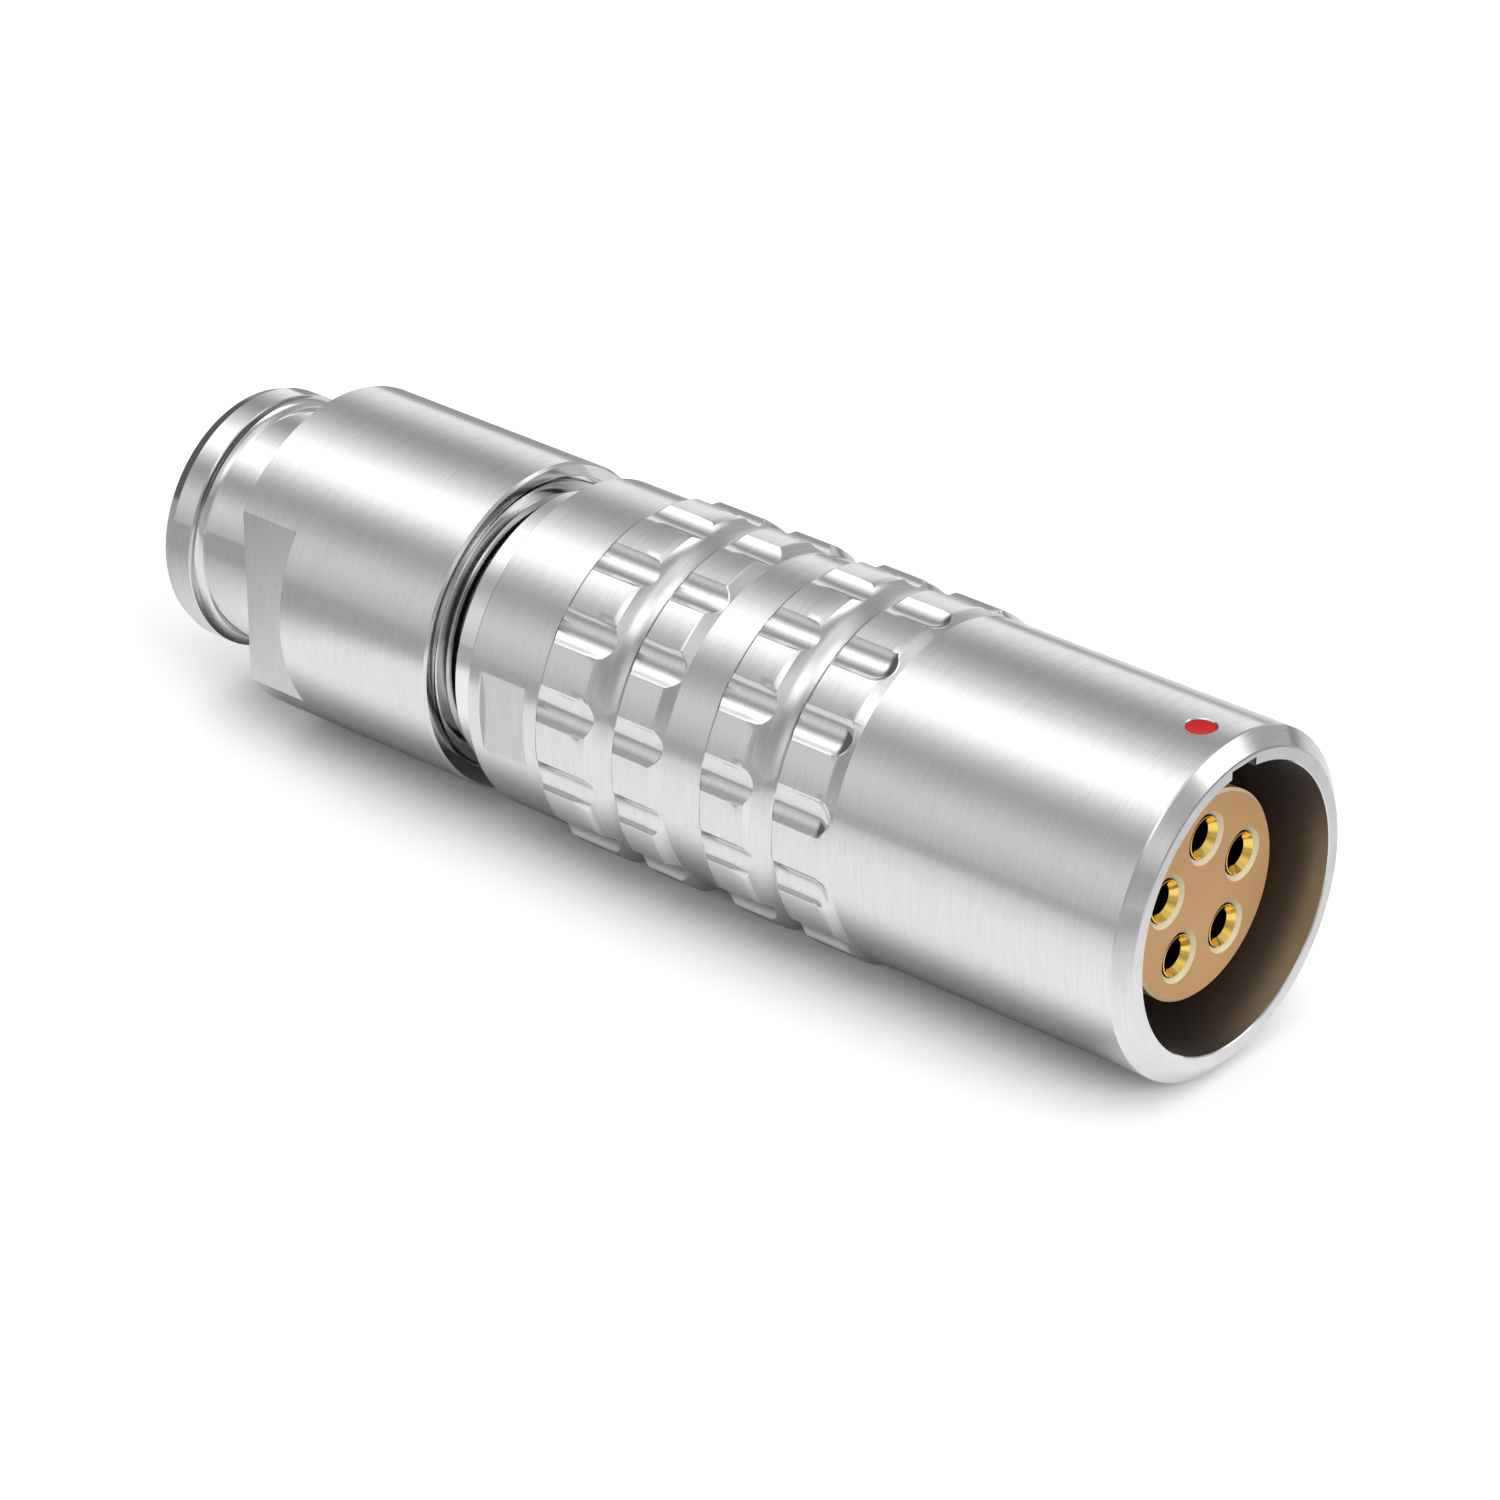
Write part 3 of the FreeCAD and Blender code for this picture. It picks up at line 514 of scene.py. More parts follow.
def shell_rows(angles):
    """The shell's profile, once round it: out over the rim, back along the bands and in through the
    bores."""
    profile = Profile(angles)
    row = profile.row

    def band_top(span, start, base_r, steps=BAND_ROWS):
        """A band's lands and flutes from the start to the rear bevel, which the flutes cut."""
        above = (flute_radius(angles, span[1]) - base_r) / (LAND_R - base_r)
        back = span[1] - BAND_BACK_BEVEL * above
        for share in np.linspace(0, 1, steps):
            station = start + (back - start) * share
            row(station, flute_radius(angles, station), sharp=share in (0, 1))

    def chamfered(span, base_r):
        """The foot of a band's front chamfer. It gives the stations where the chamfer's top meets
        the lands or the flutes, found by halving."""
        rise = LAND_R - base_r
        low, high = np.full(angles.shape, span[0]), np.full(angles.shape, span[0] + BAND_CHAMFER)
        for _ in range(HALVINGS):
            middle = (low + high) / 2
            above = base_r + rise * (middle - span[0]) / BAND_CHAMFER > flute_radius(angles, middle)
            high = np.where(above, middle, high)
            low = np.where(above, low, middle)
        row(span[0], base_r)
        return high

    def grooved(start, span):
        """The groove between two bands: a small corner, then a wide round up to the bevel in front
        of the second band. It gives the stations where that bevel meets its lands or flutes."""
        bottom = start + GROOVE_CORNER
        for angle in np.linspace(0, math.pi / 2, CORNER_ROWS):
            row(
                bottom - GROOVE_CORNER * math.cos(angle),
                GROOVE_FLOOR_R + GROOVE_CORNER * (1 - math.sin(angle)),
            )
        last = math.asin((span[0] - GROOVE_BEVEL - bottom) / GROOVE_ROUND)
        top_r = flute_radius(angles, span[0])
        centre_r = GROOVE_FLOOR_R + GROOVE_ROUND
        reach = np.minimum(np.arccos((centre_r - top_r) / GROOVE_ROUND), last)
        for share in np.linspace(0, 1, ROUND_ROWS)[1:]:
            angle = reach * share
            row(bottom + GROOVE_ROUND * np.sin(angle), centre_r - GROOVE_ROUND * np.cos(angle))
        arc_s = bottom + GROOVE_ROUND * math.sin(last)
        arc_r = centre_r - GROOVE_ROUND * math.cos(last)
        share = np.clip((top_r - arc_r) / (LAND_R - arc_r), 0, 1)
        on_bevel = arc_s + (span[0] - arc_s) * share
        return np.where(reach < last, bottom + GROOVE_ROUND * np.sin(reach), on_bevel)

    row(0, RIM_FACE_R, sharp=True)
    row(RIM_CHAMFER, BARREL_R, sharp=True)
    window = DOT_PLACE + np.linspace(-WINDOW_HALF, WINDOW_HALF, WINDOW_STEPS + 1)
    barrel = np.linspace(window[-1], BAND_1[0], BARREL_ROWS)[1:-1]
    for station in (*window, *barrel):
        row(station, BARREL_R)
    groove_r = GROOVE_FLOOR_R + GROOVE_CORNER
    band_top(BAND_1, chamfered(BAND_1, BARREL_R), groove_r, steps=BALL_BAND_ROWS)
    band_top(BAND_2, grooved(BAND_1[1], BAND_2), RING_R)
    row(BAND_2[1], RING_R)
    band_top(BAND_3, chamfered(BAND_3, RING_R), groove_r)
    band_top(BAND_4, grooved(BAND_3[1], BAND_4), RING_R)
    row(BAND_4[1], RING_R)
    flats = flat_radius(angles, RING_R, FLAT_DISTANCE)
    row(FLAT_SPAN[0], RING_R, sharp=True)
    row(FLAT_SPAN[0], flats)
    row(FLAT_SPAN[1], flats)
    row(FLAT_SPAN[1], RING_R, sharp=True)
    row(SHELL_END - SHELL_END_CHAMFER, RING_R)
    row(SHELL_END, RING_R - SHELL_END_CHAMFER)
    row(SHELL_END, SEAL_SEAT_R, sharp=True)
    row(SEAL_SEAT_START, SEAL_SEAT_R)
    row(SEAL_SEAT_START, THREAD_R)
    row(THREAD_START, THREAD_R)
    row(THREAD_START, CARRIER_BORE_R)
    row(WEB_BACK, CARRIER_BORE_R)
    row(WEB_BACK, WEB_BORE_R)
    row(SOCKET_DEPTH, WEB_BORE_R)
    row(SOCKET_DEPTH, SOCKET_R)
    row(SPLIT_RING_SPAN[1], SOCKET_R)
    row(SPLIT_RING_SPAN[1], SPLIT_RING_R)
    row(SPLIT_RING_SPAN[0], SPLIT_RING_R)
    row(SPLIT_RING_SPAN[0], SOCKET_R)
    row(KEY_LENGTH, SOCKET_R)
    slot = key_radius(angles)
    row(KEY_LENGTH, slot)
    row(LATCH_SPAN[1], slot, sharp=True)
    row(LATCH_SPAN[1], np.maximum(LATCH_R, slot))
    row(LATCH_SPAN[0], np.maximum(LATCH_R, slot))
    row(LATCH_SPAN[0], slot, sharp=True)
    row(0, slot, sharp=True)
    return profile.eased()


def dot_hole(angles):
    """The patch of barrel round the dot and the dot's hole: rays from the window's edge to the
    circle, then down its eased edge and wall, and in to the middle of the floor."""
    across = BARREL_R * angles[np.abs(angles) < WINDOW_HALF / BARREL_R + TOUCH]
    along = np.linspace(-WINDOW_HALF, WINDOW_HALF, WINDOW_STEPS + 1)
    edge = np.concatenate([
        np.stack([np.full(across.size - 1, along[0]), across[:-1]], 1),
        np.stack([along[:-1], np.full(along.size - 1, across[-1])], 1),
        np.stack([np.full(across.size - 1, along[-1]), across[:0:-1]], 1),
        np.stack([along[:0:-1], np.full(along.size - 1, across[0])], 1),
    ])
    ray = edge / np.linalg.norm(edge, axis=1)[:, None]
    circle = ray * (DOT_HOLE_R + DOT_HOLE_EDGE)
    rows = [edge + (circle - edge) * share for share in (0, 0.4, 0.75, 1)]
    radii = [BARREL_R] * len(rows) + [BARREL_R - DOT_HOLE_EDGE, DOT_HOLE_FLOOR_R, DOT_HOLE_FLOOR_R]
    flat = np.array(rows + [ray * DOT_HOLE_R, ray * DOT_HOLE_R, ray * 0])
    return round_points(
        DOT_PLACE + flat[..., 0], np.array(radii)[:, None], flat[..., 1] / BARREL_R
    )


def face_places(piece):
    """Every face's station, its distance from the axis and how far to the side it lies."""
    middles = np.empty(len(piece.data.polygons) * 3)
    piece.data.polygons.foreach_get("center", middles)
    middles = middles.reshape(-1, 3) / MM
    return -middles[:, 0], np.hypot(middles[:, 1], middles[:, 2]), np.abs(middles[:, 1])


def mark(piece, name, shares):
    """An attribute on the piece's faces for a finish to read, between 0 and 1."""
    layer = piece.data.attributes.new(name, "FLOAT", "FACE")
    layer.data.foreach_set("value", np.asarray(shares, np.float32))


def new_finish(name):
    """A new material, its nodes, its surface shader and the place on the piece as a socket."""
    material = bpy.data.materials.new(name)
    material.use_nodes = True
    tree = material.node_tree
    place = add_node(tree, "TexCoord").outputs["Object"]
    return material, tree, tree.nodes["Principled BSDF"], place


def add_noise(tree, place, scale, detail=2.0, **others):
    """Noise over the piece, as a socket."""
    inputs = {"Vector": place, "Scale": scale, "Detail": detail, **others}
    return add_node(tree, "TexNoise", inputs).outputs["Fac"]


def marked(tree, name):
    """How far a face is marked by that name, as a socket."""
    return add_node(tree, "Attribute", attribute_name=name).outputs["Fac"]


def brushed_metal(name, colour, roughness, streak):
    """Chromed metal brushed round its axis: long streaks in the bump, the roughness and, a little,
    the colour. The streaks are noise squeezed along X and stretched across it. Faces marked as
    polished are smoother and have none. Faces marked as dull are rougher and darker: a duller
    finish on the milled flats, and painted shade down the bores."""
    material, tree, shader, place = new_finish(name)
    polished, dull_and_shaded = marked(tree, "polished"), marked(tree, "dull_and_shaded")
    squeezed = {"Vector": place, "Scale": FINE_STREAK}
    fine_place = add_node(tree, "Mapping", squeezed).outputs["Vector"]
    fine = add_noise(tree, fine_place, 1.0, 5.0, Roughness=0.62)
    stretched = {"Vector": place, "Scale": WIDE_STREAK}
    wide_place = add_node(tree, "Mapping", stretched).outputs["Vector"]
    wide = add_noise(tree, wide_place, 1.0, 3.0)
    multiply = {"data_type": "RGBA", "blend_type": "MULTIPLY"}
    shade = map_range(tree, fine, FINE_SPAN, (1 - streak, 1 + streak * STREAK_LIFT))
    tint = add_mix(tree, 1.0, (*colour, 1), shade, **multiply)
    # Painted shade down the bores, where this darkening stands for shade; on the milled flats it is
    # their duller finish.
    darker = map_range(tree, dull_and_shaded, (0.0, 1.0), (1.0, DULL_AND_PAINTED_SHADE))
    swing = (roughness * (1 - ROUGHNESS_SWING), roughness * (1 + ROUGHNESS_SWING))
    rough = map_range(tree, wide, WIDE_SPAN, swing)
    rough = add_mix(tree, polished, rough, POLISHED_ROUGHNESS)
    bump = add_node(tree, "Bump", {
        "Strength": map_range(tree, polished, (0.0, 1.0), (STREAK_BUMP, 0.0)),
        "Distance": STREAK_DEPTH,
        "Height": fine,
    })
    feed(tree, shader, {
        "Base Color": add_mix(tree, 1.0, tint, darker, **multiply),
        "Metallic": 1.0,
        "Roughness": add_mix(tree, dull_and_shaded, rough, DULL_ROUGHNESS),
        "Normal": bump.outputs["Normal"],
    })
    return material


chrome_brushed = brushed_metal("chrome_brushed", CHROME, roughness=0.19, streak=0.11)
bore_corner = math.atan2(KEY_HALF, KEY_FLOOR)
bore_edge = math.asin(KEY_HALF / SOCKET_R)
window_edge = WINDOW_HALF / BARREL_R
extra = [window_edge, -window_edge, bore_corner, -bore_corner, bore_edge, -bore_edge]
extra += flat_edges(RING_R, FLAT_DISTANCE)
shell_angles = wrapped(np.concatenate([flute_angles(), extra]))
shell_s, shell_r = shell_rows(shell_angles)
in_window = np.abs(shell_angles) < window_edge + TOUCH
window_columns = in_window & np.roll(in_window, -1)
in_span = (shell_s[:, 0] > DOT_PLACE - WINDOW_HALF - TOUCH) & (shell_r[:, 0] == BARREL_R)
in_span &= shell_s[:, 0] < DOT_PLACE + WINDOW_HALF + TOUCH
window_rows = in_span & np.roll(in_span, -1)
shell_grid = round_points(shell_s, shell_r, shell_angles[None, :])
shell = build("shell_turned", [
    patch(shell_grid, left_out=window_rows[:, None] & window_columns[None, :]),
    patch(dot_hole(shell_angles), loop_rows=False),
], chrome_brushed)
face_s, face_r, face_y = face_places(shell)
in_bands = (face_s > BAND_1[0]) & (face_s < BAND_2[1])
in_bands |= (face_s > BAND_3[0]) & (face_s < BAND_4[1])
mark(shell, "polished", (in_bands & (face_r < LAND_R - 2 * MARGIN)) | (face_s < RIM_CHAMFER))
milled = (face_s > FLAT_SPAN[0]) & (face_s < FLAT_SPAN[1]) & (face_r < RING_R - HAIR)
milled &= face_y > FLAT_DISTANCE - MARGIN
# The socket's bores are marked fully, painted shade with a rougher finish; the milled flats in
# part, for their duller finish.
bored = (face_s > 2 * EASED) & (face_r < BORED_R)
mark(shell, "dull_and_shaded", np.where(bored, 1.0, milled * MILLED))
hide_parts("outer_shell")
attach(shell, "shell")


# Index dot. Red enamel is filled into the round hole above the key slot and stands a hair hollow.
DOT_R = 0.67
DOT_TOP_R = 7.90
DOT_BOTTOM_R = 7.55
DOT_HOLLOW = 0.03
DOT_EDGE = 0.01
DOT_COLUMNS = 64
DOT_RED = (0.54, 0.004, 0.008)
DOT_BRIGHT_RED = (0.66, 0.004, 0.008)
DOT_NOISE = 1400.0


def enamel_disc():
    """A round disc: rings from the middle of its hollow top out to its edge, down its side and in
    to the middle of its bottom."""
    around = np.linspace(0, 2 * math.pi, DOT_COLUMNS, endpoint=False)
    share = np.array([0, 0.25, 0.5, 0.75, 0.93, 1, 1, 0])
    reach = share[:, None] * DOT_R
    height = DOT_TOP_R - DOT_HOLLOW * (1 - share ** 2)
    height[-3:] = (DOT_TOP_R - DOT_EDGE, DOT_BOTTOM_R, DOT_BOTTOM_R)
    return np.stack(np.broadcast_arrays(
        -(DOT_PLACE + reach * np.cos(around)) * MM, reach * np.sin(around) * MM,
        height[:, None] * MM,
    ), axis=-1)


def two_tone(tree, noise, first, second, span=(0.0, 1.0)):
    """A colour that turns from the first into the second while the noise goes through the span."""
    ramp = add_node(tree, "ValToRGB", {"Fac": noise})
    for stop, share, colour in zip(ramp.color_ramp.elements, span, (first, second)):
        stop.position = share
        stop.color = (*colour, 1)
    return ramp.outputs["Color"]


def red_enamel():
    """Glossy enamel with a slow change of shade."""
    material, tree, shader, place = new_finish("red_enamel")
    noise = add_noise(tree, place, DOT_NOISE)
    feed(tree, shader, {
        "Base Color": two_tone(tree, noise, DOT_RED, DOT_BRIGHT_RED),
        "Roughness": 0.30,
        "Specular IOR Level": 0.20,
    })
    return material


dot = build("dot_enamel", [patch(enamel_disc(), loop_rows=False)], red_enamel())
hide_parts("index_dot")
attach(dot, "shell")


# Front insulator. It is moulded in a tan high-temperature plastic, with five bevelled holes.
INSULATOR_R = 4.79
INSULATOR_FACE = 1.75
INSULATOR_EDGE = 0.12
INSULATOR_END = 14.62
SHOULDER_START = 14.02
SHOULDER_R = 5.24
HOLE_CIRCLE_R = 2.78
HOLE_R = 1.02
HOLE_BEVEL = 0.20
CONTACT_COUNT = 5
ARC_STEPS = 40
SIDE_STEPS = 12
TAN_LIGHT = (0.64, 0.36, 0.155)
TAN_DARK = (0.58, 0.32, 0.135)
TAN_PAINTED_SHEEN = (0.88, 0.76, 0.50)
TAN_MOTTLE = 260.0
TAN_MOTTLE_SPAN = (0.35, 0.65)
TAN_GRAIN = 9000.0


def placed_round(station, outward, sideways, angle):
    """Points at those stations, outward from the axis and sideways from there, all turned round the
    axis by the angle."""
    return np.stack(np.broadcast_arrays(
        -station * MM,
        (outward * math.sin(angle) + sideways * math.cos(angle)) * MM,
        (outward * math.cos(angle) - sideways * math.sin(angle)) * MM,
    ), axis=-1)


def turned_grid(profile, angles):
    """Points of a profile of stations and radii, turned round the axis."""
    outline = np.array(profile)
    return round_points(outline[:, :1], outline[:, 1:], angles[None, :])


def insulator_wedge():
    """One fifth of the insulator, a wedge round one hole, as stations and closed outlines. The rows
    go in from the rear face's edge to the hole, forward through it and over its bevel, and out
    across the front face. Each outline point lies on a ray from the hole's middle."""
    half = math.pi / CONTACT_COUNT
    edge_r = INSULATOR_R - INSULATOR_EDGE
    side = np.linspace(0, edge_r, SIDE_STEPS + 1)
    arc = np.linspace(-half, half, ARC_STEPS + 1)
    outline = np.concatenate([
        np.stack([side[:-1] * math.cos(half), -side[:-1] * math.sin(half)], 1),
        np.stack([edge_r * np.cos(arc), edge_r * np.sin(arc)], 1),
        np.stack([side[-2:0:-1] * math.cos(half), side[-2:0:-1] * math.sin(half)], 1),
    ])
    centre = np.array([HOLE_CIRCLE_R, 0])
    ray = outline - centre
    ray /= np.linalg.norm(ray, axis=1)[:, None]
    hole = centre + ray * HOLE_R
    bevel = centre + ray * (HOLE_R + HOLE_BEVEL)
    face = [outline + (bevel - outline) * share for share in (1, 0.7, 0.35, 0)]
    stations = [INSULATOR_END, INSULATOR_END, INSULATOR_FACE + HOLE_BEVEL]
    stations += [INSULATOR_FACE] * len(face)
    return np.array(stations)[:, None], np.array([outline, hole, hole, *face])


def insulator_patches():
    """The five wedges with their holes, and the turned outside with its shoulder."""
    stations, outlines = insulator_wedge()
    turns = 2 * math.pi * np.arange(CONTACT_COUNT) / CONTACT_COUNT
    patches = []
    for turn_angle in turns:
        points = placed_round(stations, outlines[..., 0], outlines[..., 1], turn_angle)
        patches.append(patch(points, loop_rows=False))
    arc = np.linspace(-math.pi / CONTACT_COUNT, math.pi / CONTACT_COUNT, ARC_STEPS + 1)[:-1]
    angles = (arc[None, :] + turns[:, None]).ravel()
    patches.append(patch(turned_grid([
        (INSULATOR_FACE, INSULATOR_R - INSULATOR_EDGE),
        (INSULATOR_FACE + INSULATOR_EDGE, INSULATOR_R),
        (SHOULDER_START, INSULATOR_R),
        (SHOULDER_START, SHOULDER_R),
        (INSULATOR_END, SHOULDER_R),
        (INSULATOR_END, INSULATOR_R - INSULATOR_EDGE),
    ], angles), loop_rows=False))
    return patches


def moulded_tan():
    """Filled plastic: a fine mottle of two tans and a faint moulded grain. Faces marked as pale
    are the hole bevels, painted a pale cream: a painted sheen where they catch the light."""
    material, tree, shader, place = new_finish("moulded_tan")
    mottle = add_noise(tree, place, TAN_MOTTLE, 4.0)
    mottle = two_tone(tree, mottle, TAN_DARK, TAN_LIGHT, TAN_MOTTLE_SPAN)
    bump = add_node(tree, "Bump", {
        "Strength": 0.15,
        "Distance": 0.00001,
        "Height": add_noise(tree, place, TAN_GRAIN),
    })
    colour = add_mix(tree, marked(tree, "painted_sheen"), mottle, (*TAN_PAINTED_SHEEN, 1), data_type="RGBA")
    feed(tree, shader, {
        "Base Color": colour,
        "Roughness": 0.42,
        "Normal": bump.outputs["Normal"],
    })
    return material


tan = moulded_tan()
front_insulator = build("insulator_front", insulator_patches(), tan)
face_s = face_places(front_insulator)[0] - INSULATOR_FACE
# Painted sheen: the bevels round the holes are painted a pale cream.
mark(front_insulator, "painted_sheen", (face_s > MARGIN) & (face_s < HOLE_BEVEL - MARGIN))
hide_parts("insulator")
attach(front_insulator, "shell")


# Contacts. Each is turned from brass and gold plated: a funnelled bore in front, a collar in the
# middle and a solder cup at the back, cut open on its outer side.
CONTACT_R = 0.97
CONTACT_FRONT = 1.85
CONTACT_BORE_R = 0.71
CONTACT_BORE_END = 9.05
CONTACT_FUNNEL = 0.34
CONTACT_LIP = 0.04
COLLAR_SPAN = (14.64, 15.64)
COLLAR_R = 1.20
CUP_START = 20.52
CUP_CUT = 21.62
CONTACT_END = 23.12
CUP_R = 0.62
CONTACT_COLUMNS = 48
CONTACT_CHAMFER = 0.015
GOLD_DARK = (0.95, 0.58, 0.09)
GOLD_LIGHT = (1.00, 0.74, 0.20)
GOLD_PAINTED_SHADE = (0.02, 0.012, 0.004)
GOLD_ROUGHNESS = (0.07, 0.13)
GOLD_NOISE = 2200.0


def contact_patches(turn_angle):
    """A turned contact, once round its profile, and the half tube of its cut-away cup, both moved
    out to the contact circle and turned to their place on it."""
    around = np.linspace(0, 2 * math.pi, CONTACT_COLUMNS, endpoint=False)
    half_round = np.linspace(math.pi / 2, 3 * math.pi / 2, CONTACT_COLUMNS // 2 + 1)
    body = [
        (CUP_CUT, CUP_R), (CUP_START, CUP_R), (CUP_START, 0), (CONTACT_BORE_END, 0),
        (CONTACT_BORE_END, CONTACT_BORE_R), (CONTACT_FRONT + CONTACT_FUNNEL, CONTACT_BORE_R),
        (CONTACT_FRONT, CONTACT_R - CONTACT_LIP), (CONTACT_FRONT + CONTACT_CHAMFER, CONTACT_R),
        (COLLAR_SPAN[0], CONTACT_R), (COLLAR_SPAN[0], COLLAR_R), (COLLAR_SPAN[1], COLLAR_R),
        (COLLAR_SPAN[1], CONTACT_R), (CUP_CUT, CONTACT_R),
    ]
    cup = [(CUP_CUT, CUP_R), (CUP_CUT, CONTACT_R), (CONTACT_END, CONTACT_R), (CONTACT_END, CUP_R)]
    patches = []
    for profile, angles, loop in ((body, around, True), (cup, half_round, False)):
        outline = np.array(profile)
        outward = outline[:, 1:] * np.cos(angles) + HOLE_CIRCLE_R
        sideways = outline[:, 1:] * np.sin(angles)
        points = placed_round(outline[:, :1], outward, sideways, turn_angle)
        patches.append(patch(points, loop_columns=loop))
    return patches


def gold_plate():
    """Gold plate on turned brass, warm yellow. Faces marked as deep are down in the bore, where no
    light comes, and are painted near black: painted shade."""
    material, tree, shader, place = new_finish("gold_plate")
    noise = add_noise(tree, place, GOLD_NOISE, 3.0)
    colour = two_tone(tree, noise, GOLD_DARK, GOLD_LIGHT)
    feed(tree, shader, {
        "Base Color": add_mix(
            tree, marked(tree, "deep_painted_shade"), colour, (*GOLD_PAINTED_SHADE, 1), data_type="RGBA"
        ),
        "Metallic": 1.0,
        "Roughness": map_range(tree, noise, (0.0, 1.0), GOLD_ROUGHNESS),
    })
    return material


gold = gold_plate()
for number in range(CONTACT_COUNT):
    turned_by = -2 * math.pi * number / CONTACT_COUNT
    piece = build(f"contact_turned_{number + 1}", contact_patches(turned_by), gold)
    face_s = face_places(piece)[0]
    # Painted shade: the bore behind the funnel is painted near black.
    behind_funnel = face_s > CONTACT_FRONT + CONTACT_FUNNEL
    mark(piece, "deep_painted_shade", behind_funnel & (face_s < CONTACT_BORE_END + MARGIN))
    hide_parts(f"contact_{number + 1}")
    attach(piece, "shell")


# Slip ring. A loose polished ring between shell and nut, which takes the nut's push.
SLIP_RING_SPAN = (36.83, 38.36)
SLIP_RING_R = 6.94
SLIP_RING_BORE_R = 6.08
SLIP_RING_EDGE = 0.10

SLIP_RING_COLUMNS = 256
CHROME_BRIGHT = (0.86, 0.86, 0.87)

slip_ring_grid = turned_grid([
    (SLIP_RING_SPAN[0], SLIP_RING_BORE_R),
    (SLIP_RING_SPAN[0], SLIP_RING_R - SLIP_RING_EDGE),
    (SLIP_RING_SPAN[0] + SLIP_RING_EDGE, SLIP_RING_R),
    (SLIP_RING_SPAN[1] - SLIP_RING_EDGE, SLIP_RING_R),
    (SLIP_RING_SPAN[1], SLIP_RING_R - SLIP_RING_EDGE),
    (SLIP_RING_SPAN[1], SLIP_RING_BORE_R),
], np.linspace(0, 2 * math.pi, SLIP_RING_COLUMNS, endpoint=False))
chrome_bright = brushed_metal("chrome_bright", CHROME_BRIGHT, roughness=0.10, streak=0.03)
slip = build("slip_ring_turned", [patch(slip_ring_grid)], chrome_bright)
mark(slip, "polished", np.ones(len(slip.data.polygons)))
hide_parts("slip_ring")
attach(slip, "ring")


# Collet nut. Turned in one piece: thread in front, grooved head with two spanner flats, and a neck
# that ends in a lip for the bend relief.
NUT_R = 7.84
NUT_FACE = 39.31
NUT_BACK = 51.81
NUT_EDGE = 0.12
NUT_NOSE = 29.77
NUT_THREAD_R = 6.45
THREAD_DEPTH = 0.36
THREAD_PITCH = 0.75
RELIEF_START = 36.06
RELIEF_R = 6.03
NUT_SHOULDER_START = 38.38
NUT_SHOULDER_R = 6.42
HUB_R = 6.95
HUB_BEVEL = 0.15
FACE_GROOVE_R = 7.18
FACE_GROOVE_DEPTH = 0.80
NUT_FLAT_START = 48.41
NUT_FLAT_DISTANCE = 6.50
NECK_R = 5.65
LIP_START = 55.81
LIP_FILLET = 0.50
LIP_R = 6.20
LIP_TAPER_START = 57.01
NUT_END = 57.61
LIP_TAPER_R = 6.00
CABLE_HOLE_R = 4.20
CABLE_HOLE_EDGE = 0.35
NUT_INNER_R = 5.20
NUT_CONE_SPAN = (43.95, 46.95)
NUT_CONE_R = 4.85
NUT_CONE_END = 47.15
NUT_COLUMNS = 288
FILLET_ROWS = 9
NUT_BORED_R = 5.10
RIDGE_FOOT = 0.46
RIDGE_TOP = 0.06
RIDGE_SUNK = 0.02
RIDGE_STEPS = 72
RIDGE_START = 0.5
RIDGE_FADE = 0.5
RIDGE_LEAST = 0.02


def nut_rows(angles):
    """The nut's profile, once round it: from its nose out over the head and the lip, and back
    through the cable hole. The flats cut the head where their planes are nearer."""
    profile = Profile(angles)
    row = profile.row
    flats = flat_radius(angles, NUT_R, NUT_FLAT_DISTANCE)
    root_r = NUT_THREAD_R - THREAD_DEPTH
    row(NUT_NOSE, NUT_INNER_R)
    row(NUT_NOSE, root_r, sharp=True)
    row(RELIEF_START, root_r)
    row(RELIEF_START, RELIEF_R)
    row(NUT_SHOULDER_START, RELIEF_R)
    row(NUT_SHOULDER_START, NUT_SHOULDER_R, sharp=True)
    row(NUT_FACE, NUT_SHOULDER_R)
    row(NUT_FACE + HUB_BEVEL, HUB_R, sharp=True)
    row(NUT_FACE + FACE_GROOVE_DEPTH, HUB_R)
    row(NUT_FACE + FACE_GROOVE_DEPTH, FACE_GROOVE_R)
    row(NUT_FACE, FACE_GROOVE_R, sharp=True)
    row(NUT_FACE, NUT_R - NUT_EDGE)
    row(NUT_FACE + NUT_EDGE, NUT_R)
    row(NUT_FLAT_START, NUT_R, sharp=True)
    row(NUT_FLAT_START, flats)
    row(NUT_BACK - NUT_EDGE, flats)
    row(NUT_BACK, np.minimum(flats, NUT_R - NUT_EDGE), sharp=True)
    row(NUT_BACK, NECK_R)
    for angle in np.linspace(0, math.pi / 2, FILLET_ROWS):
        row(
            LIP_START - LIP_FILLET * (1 - math.sin(angle)),
            NECK_R + LIP_FILLET * (1 - math.cos(angle)),
        )
    row(LIP_START, LIP_R, sharp=True)
    row(LIP_TAPER_START, LIP_R)
    row(NUT_END, LIP_TAPER_R, sharp=True)
    row(NUT_END, CABLE_HOLE_R + CABLE_HOLE_EDGE)
    row(NUT_END - CABLE_HOLE_EDGE, CABLE_HOLE_R)
    row(NUT_CONE_END, CABLE_HOLE_R)
    row(NUT_CONE_END, NUT_CONE_R)
    row(NUT_CONE_SPAN[1], NUT_CONE_R)
    row(NUT_CONE_SPAN[0], NUT_INNER_R)
    return profile.eased()


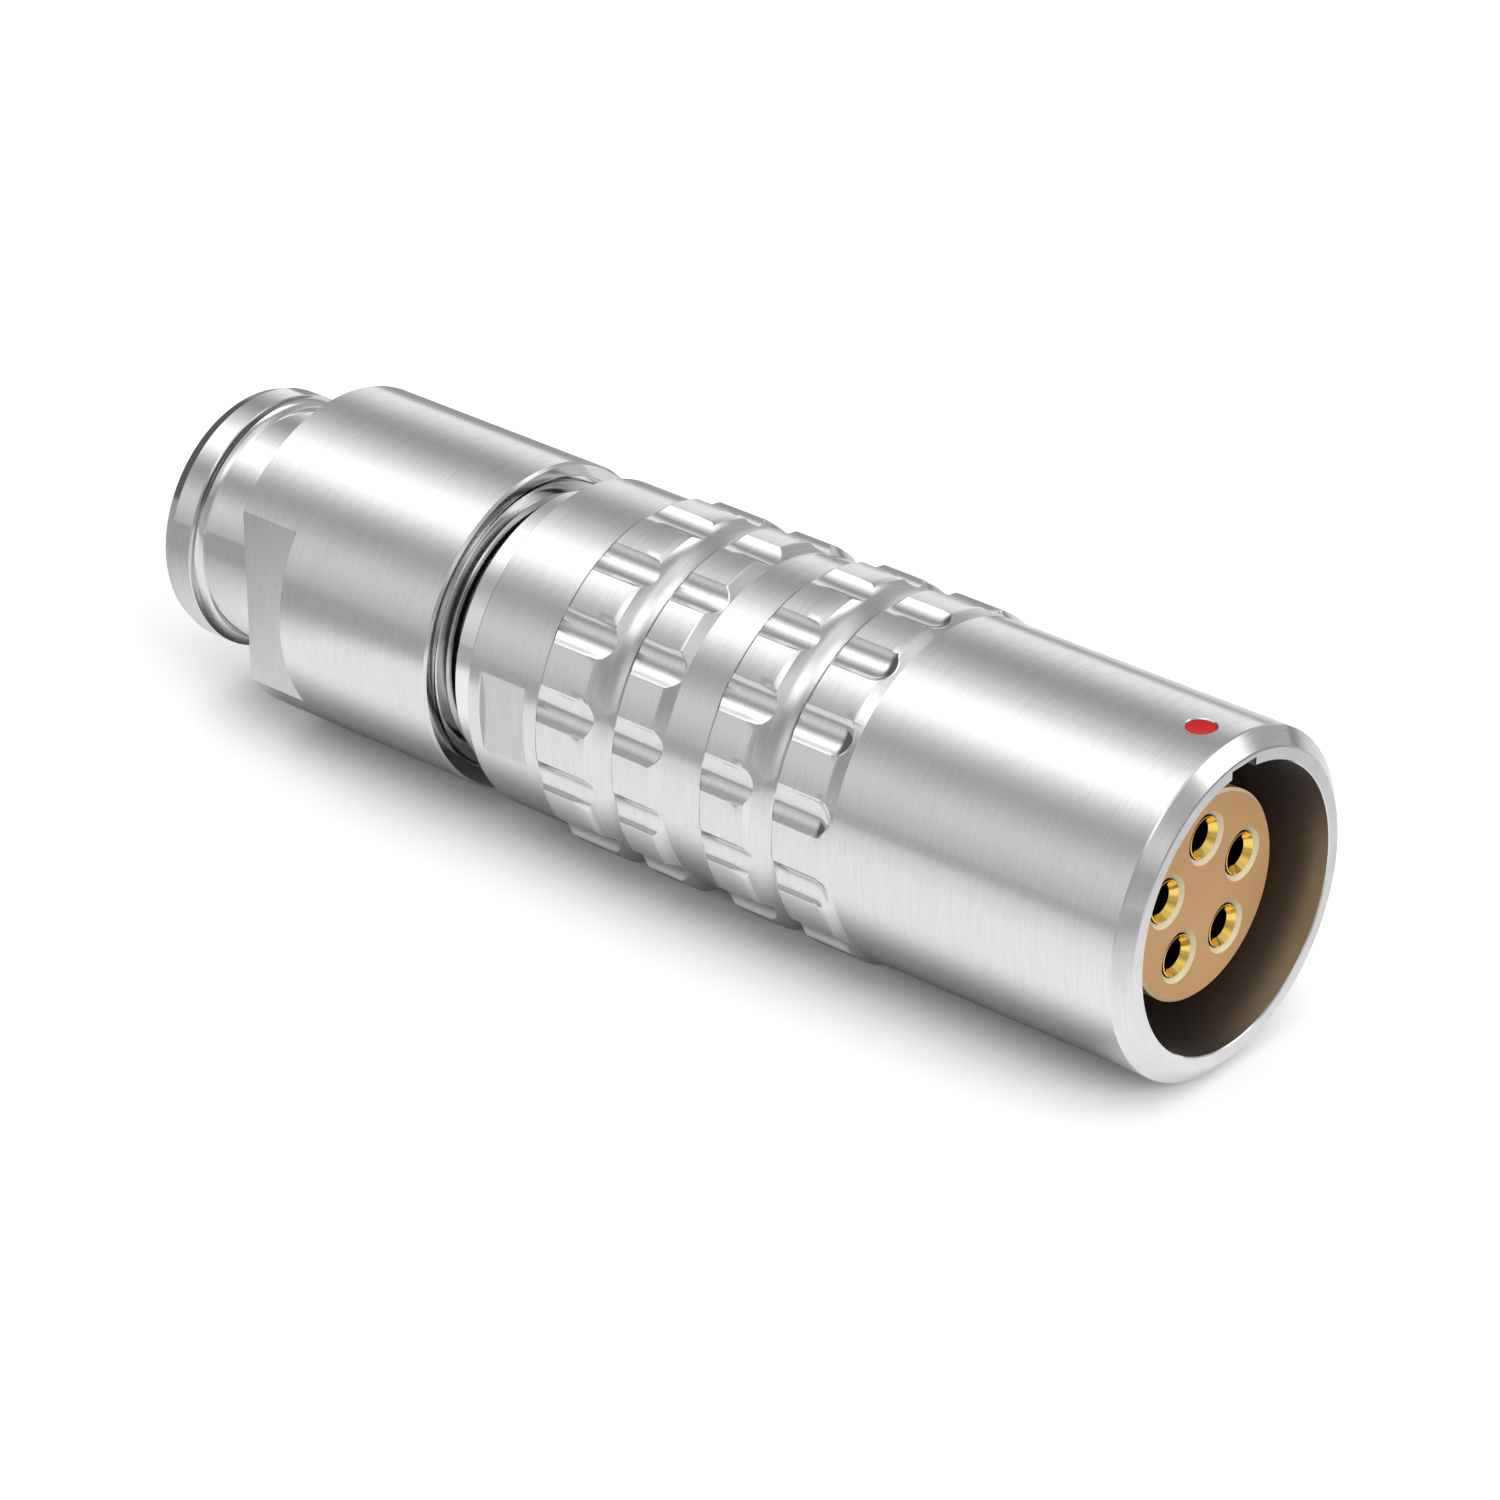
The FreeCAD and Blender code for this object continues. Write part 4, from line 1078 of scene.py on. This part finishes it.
def thread_ridge():
    """A helix of even pitch with a pointed ridge across it, right-handed, which fades into the core
    over half a turn at both ends."""
    turns = (RELIEF_START - NUT_NOSE) / THREAD_PITCH - 2 * RIDGE_START
    along = np.linspace(0, turns, int(turns * RIDGE_STEPS))
    fade = np.clip(np.minimum(along, turns - along) / RIDGE_FADE, RIDGE_LEAST, 1)
    across = np.array([-RIDGE_FOOT, -RIDGE_TOP, RIDGE_TOP, RIDGE_FOOT]) * THREAD_PITCH
    on_top = np.array([False, True, True, False])[:, None]
    station = NUT_NOSE + THREAD_PITCH * (RIDGE_START + along)[None, :] + across[:, None]
    radius = NUT_THREAD_R - THREAD_DEPTH + np.where(on_top, THREAD_DEPTH * fade, -RIDGE_SUNK)
    return round_points(station, radius, -2 * math.pi * along[None, :])


nut_around = np.linspace(0, 2 * math.pi, NUT_COLUMNS, endpoint=False)
nut_angles = wrapped(np.concatenate([nut_around, flat_edges(NUT_R, NUT_FLAT_DISTANCE)]))
nut_s, nut_r = nut_rows(nut_angles)
nut_grid = round_points(nut_s, nut_r, nut_angles[None, :])
nut = build("nut_turned", [patch(nut_grid)], chrome_brushed)
ridge = build("nut_thread", [patch(thread_ridge(), loop_columns=False)], chrome_bright)
face_s, face_r, face_y = face_places(nut)
face_groove = face_s < NUT_FACE + FACE_GROOVE_DEPTH + EASED
face_groove &= face_r < FACE_GROOVE_R + EASED
face_ends = (face_s > NUT_BACK - NUT_EDGE) | (face_s < NUT_FACE + NUT_EDGE)
mark(nut, "polished", face_ends | face_groove)
milled = (face_s > NUT_FLAT_START) & (face_s < NUT_BACK) & (face_y > NUT_FLAT_DISTANCE - MARGIN)
# The cable bore is marked fully, painted shade with a rougher finish; the milled flats in part, for
# their duller finish.
mark(nut, "dull_and_shaded", np.where(face_r < NUT_BORED_R, 1.0, milled * MILLED))
for piece in (nut, ridge):
    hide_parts("collet_nut")
    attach(piece, "nut")


# Inner pieces. They are hidden behind the socket and inside the nut, and keep their own shapes.
def plain_finish(name, dark, light, metallic, roughness, scale):
    """A finish for a small inner piece: noise between two shades, with a faint grain."""
    material, tree, shader, place = new_finish(name)
    noise = add_noise(tree, place, scale, 4.0)
    bump = add_node(tree, "Bump", {"Strength": 0.15, "Distance": 0.000006, "Height": noise})
    feed(tree, shader, {
        "Base Color": two_tone(tree, noise, dark, light),
        "Metallic": metallic,
        "Roughness": roughness,
        "Normal": bump.outputs["Normal"],
    })
    return material


spring_bronze = plain_finish(
    "spring_bronze", dark=(0.50, 0.43, 0.33), light=(0.66, 0.60, 0.50),
    metallic=1.0, roughness=0.28, scale=1500,
)
spring_steel = plain_finish(
    "spring_steel", dark=(0.46, 0.46, 0.47), light=(0.60, 0.60, 0.61),
    metallic=1.0, roughness=0.25, scale=1500,
)
black_rubber = plain_finish(
    "black_rubber", dark=(0.018, 0.018, 0.018), light=(0.035, 0.035, 0.036),
    metallic=0.0, roughness=0.65, scale=3000,
)
INNER_FINISH = {
    "earthing_crown": spring_bronze,
    "retaining_ring": spring_steel,
    "rear_insulator": tan,
    "insert_carrier_upper": chrome_brushed,
    "insert_carrier_lower": chrome_brushed,
    "shield_cone": chrome_brushed,
    "collet": chrome_brushed,
    "rear_seal": black_rubber,
}
for number in range(CONTACT_COUNT):
    INNER_FINISH[f"contact_clip_{number + 1}"] = spring_bronze
for node_name, finish in INNER_FINISH.items():
    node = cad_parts[node_name]
    if not node.material_slots:
        node.data.materials.append(finish)
    for material_slot in node.material_slots:
        material_slot.material = finish
